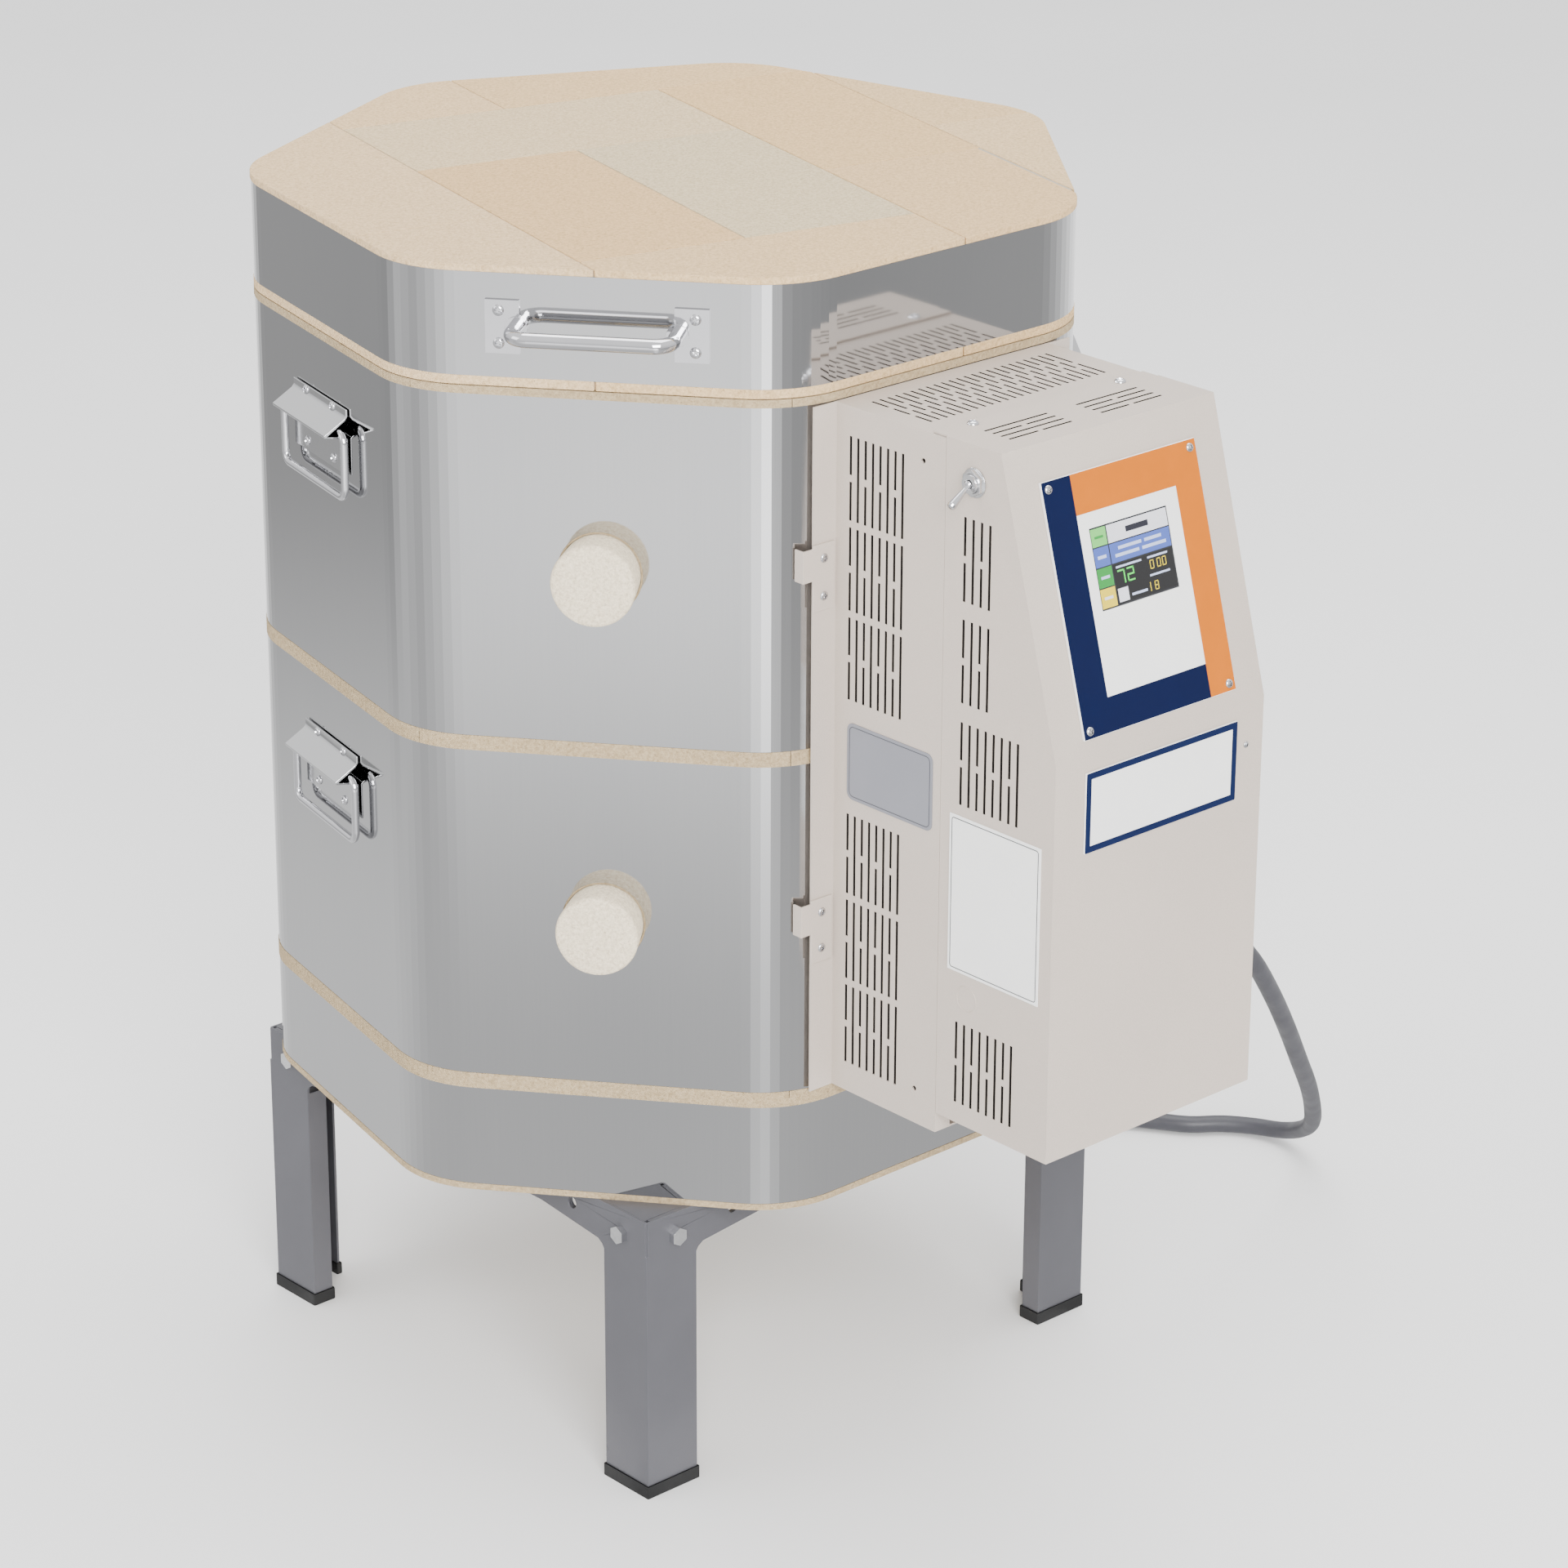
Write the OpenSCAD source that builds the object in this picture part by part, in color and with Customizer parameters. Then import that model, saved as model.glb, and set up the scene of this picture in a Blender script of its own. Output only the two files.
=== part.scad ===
// Seven-sided sectional top-loading electric kiln on a four-legged stand.
// Frame: Z up, floor at z = 0, kiln axis on x = xo, y = yo, front face towards -Y.

/* [Body] */
// Distance from the kiln axis to each flat face of the steel jacket
apothem = 254; // [252:0.5:256]
// Outside bend radius of the jacket at the seven corners
bend_r = 70; // [60:1:80]
// Thickness of the firebrick wall
brick_t = 63.5; // [58:0.5:66]
// Height of the insulated floor slab
floor_h = 79.5; // [76:0.5:84]
// Height of each of the two ring sections
ring_h = 235.5; // [232:0.5:238]
// Height of the lid slab
lid_h = 76.5; // [72:0.5:80]

/* [Stand] */
// Height of the stand, floor to underside of the kiln
stand_h = 203; // [180:1:240]
// Outside length of each side of the square stand
stand_side = 406; // [400:1:412]
// Width of each leg flange
leg_w = 43; // [40:1:56]

/* [Control box] */
// Depth of the element cover, jacket face to control box
cover_d = 98.3; // [97:0.1:99]
// Depth of the lower control box, kiln face to its front
box_front = 197; // [190:1:200]
// Depth of the top of the control box, kiln face to its front edge
box_top_front = 145.1; // [140:0.1:150]

/* [Handles] */
// Stand-off of the lid bar from the jacket
bar_off = 27; // [24:0.5:34]
// Outside diameter of the lid bar
bar_d = 9.5; // [8:0.5:11]
// Rod diameter of the lifting bails
bail_d = 5; // [4:0.25:5]

/* [Peephole plugs] */
// Diameter of the plug's outer face
plug_d = 54; // [50:1:56]
// How far a seated plug stands out of the jacket
plug_out = 25; // [20:1:30]

/* [Hidden] */
$fn = 48;

module place() translate([-xo, -yo, 0]) children();
N = 7; HA = 180 / N; STEP = 360 / N;
A = apothem; jt = 0.6; ai = A - jt - 0.1 - brick_t;
FRONT = -90; RIGHT = -90 + STEP; LEFT = -90 - STEP; FARR = -90 + 2 * STEP;
z_f0 = stand_h; z_f1 = z_f0 + floor_h; z_r1 = z_f1 + ring_h; z_r2 = z_r1 + ring_h; z_l0 = z_r2 + 0.5; z_l1 = z_l0 + lid_h;
EPS = 0.01;
sheet = 1.2;

// box group limits in the right face's own frame: tangent, outward, height
bx0 = -90; bx1 = 93; bxc = (bx0 + bx1) / 2;
// the row's origin is under the middle of the bounding box, on the floor
xo = ((A + box_front) * cos(RIGHT) + bx1 * cos(RIGHT + 90) - (stand_side / sqrt(2) + 1.3 * sqrt(2)) * cos(RIGHT + 45)) / 2;
yo = ((A + box_front) * sin(RIGHT) + bx0 * sin(RIGHT + 90) + A / cos(180 / 7) - bend_r * (1 / cos(180 / 7) - 1) + 34) / 2;
cov_z0 = z_f1 + 4.3; cov_z1 = z_r2 - 5.7;
box_z0 = z_f1 + 18; box_z1 = cov_z1 + 0.3 + sheet; knee_z = z_f1 + 282.3;

grey = "gainsboro"; steel = "silver"; brick = "wheat";

// ---------- helpers ----------
function hept(a, r, n = 10) = r <= 0
  ? [for (i = [0 : N - 1]) let(v = -90 + HA + i * STEP) [a / cos(HA) * cos(v), a / cos(HA) * sin(v)]]
  : [for (i = [0 : N - 1]) let(v = -90 + HA + i * STEP) for (k = [0 : n]) let(t = v - HA + k * STEP / n)
      [(a - r) / cos(HA) * cos(v) + r * cos(t), (a - r) / cos(HA) * sin(v) + r * sin(t)]];

// places children on the face whose outward normal points to angle a; local +X runs along the face, local -Y points outward
module on_face(a, off = 0) rotate([0, 0, a + 90]) translate([0, -(A + off), 0]) children();

module ring2d(a, r, t) difference() { polygon(hept(a, r)); polygon(hept(a - t, r - t)); }

// plan outline of one mitred brick segment, face normal along -Y
function seg_pts(a0, a1, r, g, n = 5) = let(c = (a1 - r) * tan(HA), dg = g / r * 180 / PI, e = HA - dg)
  concat([[-(a0 * tan(HA) - g / cos(HA)), -a0]],
    [for (k = [0 : n]) let(t = e * (1 - k / n)) [-(c + r * sin(t)), -(a1 - r + r * cos(t))]],
    [for (k = [0 : n]) let(t = e * k / n) [c + r * sin(t), -(a1 - r + r * cos(t))]],
    [[a0 * tan(HA) - g / cos(HA), -a0]]);

module segment(z0, z1, lip0, lip1) {
  lo = A + 0.4; ro = bend_r + 0.4; li = A - jt - 0.1; ri = bend_r - jt - 0.1;
  translate([0, 0, z0]) linear_extrude(z1 - z0) polygon(seg_pts(ai, li, ri, 0.25));
  for (q = [[z0, lip0], [z1 - lip1, lip1]]) translate([0, 0, q[0]]) linear_extrude(q[1]) polygon(seg_pts(ai + 20, lo, ro, 0.25));
}

// rod pieces
module rod_x(x0, x1, y, z, r) translate([x0, y, z]) rotate([0, 90, 0]) cylinder(r = r, h = x1 - x0);
module rod_y(x, y0, y1, z, r) translate([x, y0, z]) rotate([-90, 0, 0]) cylinder(r = r, h = y1 - y0);
module rod_z(x, y, z0, z1, r) translate([x, y, z0]) cylinder(r = r, h = z1 - z0);

// extrudes a 2D outline given in (outward, height) along local +X, from x0 to x1
module side_ext(x0, x1) translate([x0, 0, 0]) rotate([90, 0, 90]) linear_extrude(x1 - x0) mirror([1, 0, 0]) children();

function unit(v) = v / norm(v);
// tube around a list of points; closed or with flat ends
function tube_pts(p, r, s, closed) = let(n = len(p)) [for (i = [0 : n - 1]) let(
    a = closed ? p[(i + n - 1) % n] : p[max(i - 1, 0)], b = closed ? p[(i + 1) % n] : p[min(i + 1, n - 1)],
    t = unit(b - a), up = abs(t[2]) > 0.95 ? [0.3, 0.95, 0] : [0, 0, 1], u = unit(cross(t, up)), w = cross(u, t))
    for (k = [0 : s - 1]) p[i] + r * (cos(360 * k / s) * u + sin(360 * k / s) * w)];
function tube_faces(n, s, closed) = concat(
    [for (i = [0 : n - (closed ? 1 : 2)]) for (k = [0 : s - 1]) let(j = (i + 1) % n, m = (k + 1) % s) [i * s + k, j * s + k, j * s + m, i * s + m]],
    closed ? [] : [[for (k = [0 : s - 1]) k], [for (k = [s - 1 : -1 : 0]) (n - 1) * s + k]]);
module tube(p, r, s = 8, closed = false) polyhedron(points = tube_pts(p, r, s, closed), faces = tube_faces(len(p), s, closed), convexity = 6);

// ---------- stand ----------
corner_r = stand_side / sqrt(2);
leg_ang = RIGHT - 45;
// local frame of a leg: origin at its outer corner, flanges along +X and +Y
module leg_frame(k) rotate([0, 0, leg_ang + 90 * k]) translate([corner_r, 0, 0]) rotate([0, 0, 135]) children();
module leg_profile(d = 0) {
  translate([-d, -d]) square([leg_w + 2 * d, 2 + 2 * d]);
  translate([-d, -d]) square([2 + 2 * d, leg_w + 2 * d]);
  translate([leg_w - 2 - d, -d]) square([2 + 2 * d, 16 + 2 * d]);
  translate([-d, leg_w - 2 - d]) square([16 + 2 * d, 2 + 2 * d]);
}
module leg_flange() difference() {
  linear_extrude(2) polygon([[0, 3], [leg_w, 3], [leg_w, stand_h - 34], [leg_w + 2, stand_h - 31], [leg_w + 6, stand_h - 28.5], [150, stand_h - 18], [152, stand_h - 15], [152, stand_h], [0, stand_h]]);
  for (q = [[25, 16], [75, 12.5]]) translate([q[0], stand_h - q[1], -1]) cylinder(r = q[0] == 25 ? 3.4 : 4, h = 4);
}
module leg(k) color("darkgray") leg_frame(k) difference() {
  union() {
    translate([0, 2, 0]) rotate([90, 0, 0]) leg_flange();
    mirror([1, -1, 0]) translate([0, 2, 0]) rotate([90, 0, 0]) leg_flange();
    translate([leg_w - 2, 0, 3]) cube([2, 16, stand_h - 40]);
    translate([0, leg_w - 2, 3]) cube([16, 2, stand_h - 40]);
  }
  translate([-1, -1, stand_h - 24.5]) cube([2.4, 2.4, 30]);
}
module leg_front() place() leg(0);
module leg_right() place() leg(1);
module leg_rear() place() leg(2);
module leg_left() place() leg(3);
module foot_caps() place() color([0.06, 0.06, 0.06]) for (k = [0 : 3]) leg_frame(k) difference() {
  linear_extrude(9) leg_profile(1.3);
  translate([0, 0, 3]) linear_extrude(10) leg_profile(0);
}
module stand_rails() place() color("darkgray") for (k = [0 : 3]) leg_frame(k) { rail(); corner_plate(); }
module rail() difference() {
  union() {
    translate([4.5, 2, stand_h - 24]) cube([stand_side - 9, 2, 24]);
    translate([64, 2, stand_h - 2]) cube([stand_side - 128, 22, 2]);
  }
  for (x = [25, 75, stand_side - 75, stand_side - 25]) translate([x, 1, stand_h - (x == 25 || x == stand_side - 25 ? 16 : 12.5)]) rotate([-90, 0, 0]) cylinder(r = x == 25 || x == stand_side - 25 ? 3.4 : 4, h = 4);
}
module corner_plate() translate([0, 0, stand_h - 2]) linear_extrude(2) polygon([[3.9, 4.6], [62, 4], [64.1, 4], [64.1, 24], [62, 26], [26, 62], [4.1, 62]]);
module bolt_set() {
  translate([25, -4.6, stand_h - 16]) rotate([-90, 0, 0]) rotate([0, 0, 30]) cylinder(r = 6.4, h = 4.6, $fn = 6);
  translate([25, -0.5, stand_h - 16]) rotate([-90, 0, 0]) cylinder(r = 3.2, h = 12.5);
  translate([25, 4, stand_h - 16]) rotate([-90, 0, 0]) cylinder(r = 6.4, h = 5.5, $fn = 6);
}
module stand_bolts() place() color([0.8, 0.8, 0.82]) for (k = [0 : 3]) leg_frame(k) { bolt_set(); mirror([1, -1, 0]) bolt_set(); }

// ---------- insulated body ----------
module floor_slab() place() color(brick) {
  translate([0, 0, z_f0]) linear_extrude(floor_h) polygon(hept(A - jt - 0.1, bend_r - jt - 0.1));
  translate([0, 0, z_f0]) linear_extrude(4.2) polygon(hept(A + 0.4, bend_r + 0.4));
  translate([0, 0, z_f1 - 5.9]) linear_extrude(5.9) polygon(hept(A + 0.4, bend_r + 0.4));
}
module floor_band() place() color(steel) translate([0, 0, z_f0 + 4.2]) linear_extrude(floor_h - 10.1) ring2d(A, bend_r, jt);
peep_z = ring_h / 2;
function plug_r(o) = plug_d / 2 - (plug_out - o) * 5 / 93;
module plug_shape(gap, o0, o1) translate([0, -o1, 0]) rotate([-90, 0, 0]) cylinder(r1 = plug_r(o1) + gap, r2 = plug_r(o0) + gap, h = o1 - o0, $fn = 64);
row_z = [38, 76, ring_h - 76, ring_h - 38];
groove_h = 14; groove_d = 11;
tails_t = [-20, 20];
module ring_bricks(z0) difference() {
  for (i = [0 : N - 1]) rotate([0, 0, i * STEP]) difference() {
    segment(z0, z0 + ring_h, i < 0 ? 0 : 4.7, 5.2);
    for (z = row_z) translate([-120, -(ai + groove_d), z0 + z - groove_h / 2]) cube([240, groove_d + 1, groove_h]);
  }
  on_face(FRONT) translate([0, 0, z0 + peep_z]) plug_shape(0.4, -75, 12);
  on_face(RIGHT) for (z = row_z) for (t = tails_t) rod_y(t, -4, brick_t + 6, z0 + z, 4.2);
  on_face(RIGHT) if (z0 > z_f1 + 1) rod_y(0, -4, brick_t + 6, z0 + peep_z, 4.3);
}
module jacket(z0, lo, hi) difference() {
  translate([0, 0, z0 + lo]) linear_extrude(ring_h - lo - hi) ring2d(A, bend_r, jt);
  on_face(FRONT) rod_y(0, -5, 8, z0 + peep_z, plug_d / 2 + 0.2);
  on_face(RIGHT) for (z = row_z) for (t = tails_t) rod_y(t, -5, 8, z0 + z, 5.2);
  on_face(RIGHT) if (z0 > z_f1 + 1) rod_y(0, -5, 8, z0 + peep_z, 5);
}
module lower_ring_bricks() place() color(brick) ring_bricks(z_f1);
module lower_ring_jacket() place() color(steel) jacket(z_f1, 4.7, 5.2);
module upper_ring_bricks() place() color(brick) ring_bricks(z_r1);
module upper_ring_jacket() place() color(steel) jacket(z_r1, 4.7, 5.2);

// ---------- heating ----------
hold_l = 2 * (ai + 1) * tan(HA) - 26;
hold_pts = [[-6.8, 0.2], [6.8, 0.2], [6.8, 14.5], [4, 14.5], [4, 13], [5.6, 13], [5.6, 1.6], [-5.6, 1.6], [-5.6, 13], [-4, 13], [-4, 14.5], [-6.8, 14.5]];
module holder() side_ext(-hold_l / 2, hold_l / 2) polygon([for (q = hold_pts) [ai + groove_d - q[1], q[0]]]);
module element_holders() place() color("ivory") for (z0 = [z_f1, z_r1]) for (z = row_z) for (i = [0 : N - 1]) translate([0, 0, z0 + z]) rotate([0, 0, i * STEP]) difference() {
  holder();
  if (i == 1) for (t = tails_t) rod_y(t, -(ai + 20), -(ai + 4), 0, 2.4);
}
coil_r = 4.6;
coil_a = ai + groove_d - 6.6;
module heating_elements() place() color("dimgray") for (z0 = [z_f1, z_r1]) for (z = row_z)
  tube([for (p = hept(coil_a, 12, 4)) [p[0], p[1], z0 + z]], coil_r, 8, true);
module element_tails() place() color("dimgray") on_face(RIGHT) for (z0 = [z_f1, z_r1]) for (z = row_z) for (t = tails_t) rod_y(t, -14, A - coil_a - coil_r - 0.2, z0 + z, 1.6);
module terminal_insulators() place() color("white") on_face(RIGHT) for (z0 = [z_f1, z_r1]) for (z = row_z) for (t = tails_t) difference() {
  union() { rod_y(t, -8, 40, z0 + z, 4); rod_y(t, -8, -1, z0 + z, 7); }
  rod_y(t, -9, 41, z0 + z, 1.9);
}
module thermocouple() place() color("ivory") on_face(RIGHT) translate([0, 0, z_r1 + peep_z]) {
  rod_y(0, -12, brick_t + 20, 0, 3.6);
  translate([-14, -20, -9]) cube([28, 9, 18]);
}

// ---------- lifting handles ----------
bz_up = z_r1 + 180.4; bz_lo = z_f1 + 180.4;   // height of the bail axis
pivot_o = 6.5;
module bracket() {
  side_ext(-40, 40) translate([0, 0.2]) polygon([[0.8, 13.8], [2, 13.8], [2, 9.6], [3.4, 7.6], [17.2, -1.2], [17.2, -2.4], [16.4, -3.2], [3.2, -5.2], [2, -6.4], [2, -30], [0.8, -30],
    [0.8, -5.8], [2.6, -4], [15.2, -2.2], [2.6, 6.4], [0.8, 9]]);
}
module bracket_pair(z) { on_face(LEFT) translate([0, 0, z]) bracket(); on_face(FARR) translate([0, 0, z]) bracket(); }
module lower_lift_brackets() place() color(steel) bracket_pair(bz_lo);
module upper_lift_brackets() place() color(steel) bracket_pair(bz_up);
module screw_y(t, o, z, r, hh, sr, sl) { rod_y(t, -(o + hh), -o, z, r); rod_y(t, -o, sl, z, sr); }
br = bail_d / 2; bw = 45.8; bh = 43; bend = 7;
module elbow(r, R) rotate_extrude(angle = 90) translate([R, 0]) circle(r = r, $fn = 24);
module bail(a, z) color("whitesmoke") on_face(a) translate([0, -pivot_o, z]) {
  rod_x(-(bw - bend), bw - bend, 0, 0, br);
  rod_x(-(bw - bend), bw - bend, 0, -bh, br);
  for (s = [-1, 1]) rod_z(s * bw, 0, -(bh - bend), -bend, br);
  for (s = [0, 1]) mirror([s, 0, 0]) {
    translate([bw - bend, 0, -bend]) rotate([90, 0, 0]) elbow(br, bend);
    translate([bw - bend, 0, -(bh - bend)]) mirror([0, 0, 1]) rotate([90, 0, 0]) elbow(br, bend);
  }
}
module bail_upper_left() place() bail(LEFT, bz_up);
module bail_upper_right() place() bail(FARR, bz_up);
module bail_lower_left() place() bail(LEFT, bz_lo);
module bail_lower_right() place() bail(FARR, bz_lo);

// ---------- peephole plugs ----------
module peep_plug(z) color(brick) on_face(FRONT) translate([0, 0, z]) plug_shape(0, -68, plug_out);
module peep_plug_upper() place() peep_plug(z_r1 + peep_z);
module peep_plug_lower() place() peep_plug(z_f1 + peep_z);

// ---------- lid ----------
module lid_slab() place() color(brick) {
  translate([0, 0, z_l0]) linear_extrude(lid_h) polygon(hept(A - jt - 0.1, bend_r - jt - 0.1));
  translate([0, 0, z_l0]) linear_extrude(6) polygon(hept(A + 0.4, bend_r + 0.4));
  translate([0, 0, z_l1 - 4.5]) linear_extrude(4.5) polygon(hept(A + 0.4, bend_r + 0.4));
}
module lid_band() place() color(steel) translate([0, 0, z_l0 + 6]) linear_extrude(lid_h - 10.5) ring2d(A, bend_r, jt);
hz = z_l1 - 38; hx = 50; hb = 12;
module lid_handle_plates() place() color("whitesmoke") on_face(FRONT) for (s = [-1, 1]) {
  translate([s > 0 ? 48 : -69.5, -1.9, hz - 17]) cube([21.5, 1.8, 34]);
  translate([s * hx, -0.1, hz]) rotate([90, 0, 0]) cylinder(r = 7, h = 2.6);
}
module lid_handle_bar() place() color("whitesmoke") on_face(FRONT) translate([0, 0, hz]) {
  rod_x(-(hx - hb), hx - hb, -bar_off, 0, bar_d / 2);
  for (s = [0, 1]) mirror([s, 0, 0]) {
    rod_y(hx, -(bar_off - hb), -2.7, 0, bar_d / 2);
    translate([hx - hb, -(bar_off - hb), 0]) mirror([0, 1, 0]) elbow(bar_d / 2, hb);
  }
}
module lid_screws() place() color("white") {
  on_face(FRONT) for (s = [-1, 1]) for (q = [-10.4, 10.4]) screw_y(s * 61, 1.9, hz + q, 3.6, 1.4, 1.7, 16);
  for (s = [0, 1]) mirror([s, 0, 0]) on_face(-90 + 3 * STEP) for (t = [48, 70]) for (z = [z_l0 + 24, z_l0 + 48]) screw_y(t, 2.6, z, 4, 2, 2, 14);
}

// ---------- lid hinge at the back corner ----------
back_y = A / cos(HA) - bend_r * (1 / cos(HA) - 1);
pin_y = back_y + 24; pin_z = z_r2 + 2.5; pin_r = 4;
module strap(z0, h) intersection() {
  translate([0, 0, z0]) linear_extrude(h) difference() { polygon(hept(A + 2.6, bend_r + 2.6)); polygon(hept(A + 0.6, bend_r + 0.6)); }
  translate([-88, A * 0.75, z0 - 1]) cube([176, A, h + 2]);
}
module ear(x0, pts, bore) translate([x0, 0, 0]) rotate([90, 0, 90]) linear_extrude(3) difference() {
  union() { polygon(pts); translate([pin_y, pin_z]) circle(r = 10); }
  translate([pin_y, pin_z]) circle(r = bore);
}
module base_hinge_leaf() place() color(steel) {
  strap(z_r2 - 52, 44);
  for (x = [-39, 36]) ear(x, [[back_y - 8.5, z_r2 - 52], [back_y - 8.5, z_r2 - 8], [back_y + 3, z_r2 - 8], [pin_y - 8, pin_z + 6], [pin_y + 9.2, pin_z - 4], [back_y + 6, z_r2 - 52]], pin_r + 0.02);
}
module lid_hinge_leaf() place() color(steel) {
  strap(z_l0 + 12, 48);
  for (x = [-43, 40]) ear(x, [[back_y - 10.9, z_l0 + 12], [back_y - 10.9, z_l0 + 60], [back_y + 5, z_l0 + 60], [pin_y + 9.4, pin_z + 3.4], [pin_y - 4, pin_z - 9.1], [back_y + 6, z_l0 + 12]], pin_r + 0.06);
}
module hinge_pin() place() color("whitesmoke") { rod_x(-48, 48, pin_y, pin_z, pin_r); for (x = [-50.5, 48]) rod_x(x, x + 2.5, pin_y, pin_z, 7); }
module body_screws() place() color("white") {
  for (z = [bz_lo, bz_up]) for (a = [LEFT, FARR]) on_face(a) for (t = [-20, 20]) for (q = [11, -23.3]) screw_y(t, 2, z + q, 3.2, 1.6, 1.6, 14);
  for (s = [0, 1]) mirror([s, 0, 0]) on_face(-90 + 3 * STEP) for (t = [48, 70]) for (z = [z_r2 - 42, z_r2 - 18]) screw_y(t, 2.6, z, 4, 2, 2, 14);
  on_face(RIGHT) for (s = [0, 1]) translate([bxc, 0, 0]) mirror([s, 0, 0]) for (z = br_z) for (q = [-9.6, -34.4]) translate([bx0 - bxc, 0, z]) screw_y(-11, 3.4, q, 3.1, 1.2, 1.5, 14);
}
// ---------- element cover on the right face ----------
sl_w = 2;
module slot_cols(n, o0, pitch, z_top, h, ns, nl, gap = 4.5, flip = 0) for (k = [0 : n - 1]) {
  m = (k + flip) % 2 == 0 ? ns : nl; l = (h - (m - 1) * gap) / m;
  for (j = [0 : m - 1]) translate([o0 + k * pitch - sl_w / 2, z_top - h + j * (l + gap)]) square([sl_w, l]);
}
up_z = cov_z1 - 19; lo_z = cov_z1 - 268.5;
module cover_wall2d() difference() {
  translate([0.8, cov_z0]) square([cover_d - 0.8, cov_z1 - cov_z0]);
  slot_cols(8, 15, 6.6, up_z, 172.5, 6, 3);
  slot_cols(8, 15, 6.6, lo_z, 172.5, 6, 3);
  for (z = [up_z, cov_z0 + 24]) translate([79, z]) circle(r = 1.7, $fn = 16);
}
scr_t = [bxc - 63.5, bxc + 63.5];
gl_o = 78; gl_z = z_f1 + 75;   // cord gland on the far wall of the cover
module element_cover() place() color(grey) on_face(RIGHT) difference() {
  union() {
    side_ext(bx0, bx0 + sheet) cover_wall2d();
    side_ext(bx1 - sheet, bx1) cover_wall2d();
    translate([bx0, -cover_d, cov_z0]) cube([bx1 - bx0, cover_d - 0.8, sheet]);
    translate([bx0, -cover_d, cov_z1 - sheet]) difference() {
      cube([bx1 - bx0, cover_d - 0.8, sheet]);
      for (k = [0 : 23]) { m = k % 2 == 0 ? 3 : 2; l = (53 - (m - 1) * 4.5) / m;
        for (j = [0 : m - 1]) translate([15 + k * 6.5, cover_d - 69.5 + j * (l + 4.5), -1]) cube([1.8, l, 4]); }
      for (t = scr_t) translate([t - bx0 - 2.6, -1, -1]) cube([5.2, 11, 4]);
    }
    for (x = [bx0 - 19, bx1]) translate([x, -2, cov_z0]) cube([19, sheet, cov_z1 - cov_z0]);
    for (x = [bx0 + sheet - EPS, bx1 - 13]) translate([x, -cover_d, cov_z0 + sheet]) cube([13 - sheet + EPS, sheet, cov_z1 - cov_z0 - 2 * sheet]);
  }
  translate([bx1 - 5, -gl_o, gl_z]) rotate([0, 90, 0]) cylinder(r = 10.1, h = 10);
}
br_z = [z_r1 + 141, z_f1 + 138.3];
module cover_brackets() place() color(grey) on_face(RIGHT) for (s = [0, 1]) translate([bxc, 0, 0]) mirror([s, 0, 0]) for (z = br_z) translate([bx0 - bxc, 0, z]) difference() {
  union() {
    translate([-20, -3.4, -44]) cube([18, 1.4, 44]);
    translate([-28.5, -3.4, -23]) cube([9, 1.4, 21]);
    translate([-28.5, -3.4, -23]) cube([1.4, 8, 21]);
  }
}
module cover_label() place() color([0.72, 0.73, 0.76]) on_face(RIGHT) translate([bx0, 0, 0]) side_ext(-0.6, -0.05) translate([14.5, z_f1 + 207.7]) rrect(77, 51.3, 5);
module rrect(w, h, r, n = 4) polygon([for (c = [[w - r, h - r, 0], [r, h - r, 90], [r, r, 180], [w - r, r, 270]]) for (k = [0 : n]) [c[0] + r * cos(c[2] + 90 * k / n), c[1] + r * sin(c[2] + 90 * k / n)]]);

hr_o = cover_d - 6.3; hr_z = cov_z0 + 6.2;   // axis the control box swings down on
module box_hinge_rod() place() color(steel) on_face(RIGHT) rod_x(bx0 + sheet, bx1 - sheet, -hr_o, hr_z, 2);

// ---------- control box ----------
cb = cover_d + 0.3;
bo = box_front; bt = box_top_front;
nx = (box_z1 - knee_z) / norm([bo - bt, box_z1 - knee_z]); nz = (bo - bt) / norm([bo - bt, box_z1 - knee_z]);
slant = atan2(bo - bt, box_z1 - knee_z);
in_knee = box_z1 + (-sheet - (bo - sheet - bt) * nx) / nz;
in_top = bt + (-sheet + sheet * nz) / nx;
module box_side2d() difference() {
  polygon([[cb, box_z0], [bo, box_z0], [bo, knee_z], [bt, box_z1], [cb, box_z1]]);
  slot_cols(4, 116, 7.1, z_f1 + 420, 54, 2, 1);
  slot_cols(4, 116, 7.1, z_f1 + 354.5, 54, 2, 1);
  slot_cols(8, 116, 6.95, z_f1 + 288, 54.3, 2, 1);
  slot_cols(8, 116, 6.95, z_f1 + 87.4, 55.3, 2, 1);
}
tog_o = 123.6; tog_z = z_f1 + 443.6;
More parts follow.
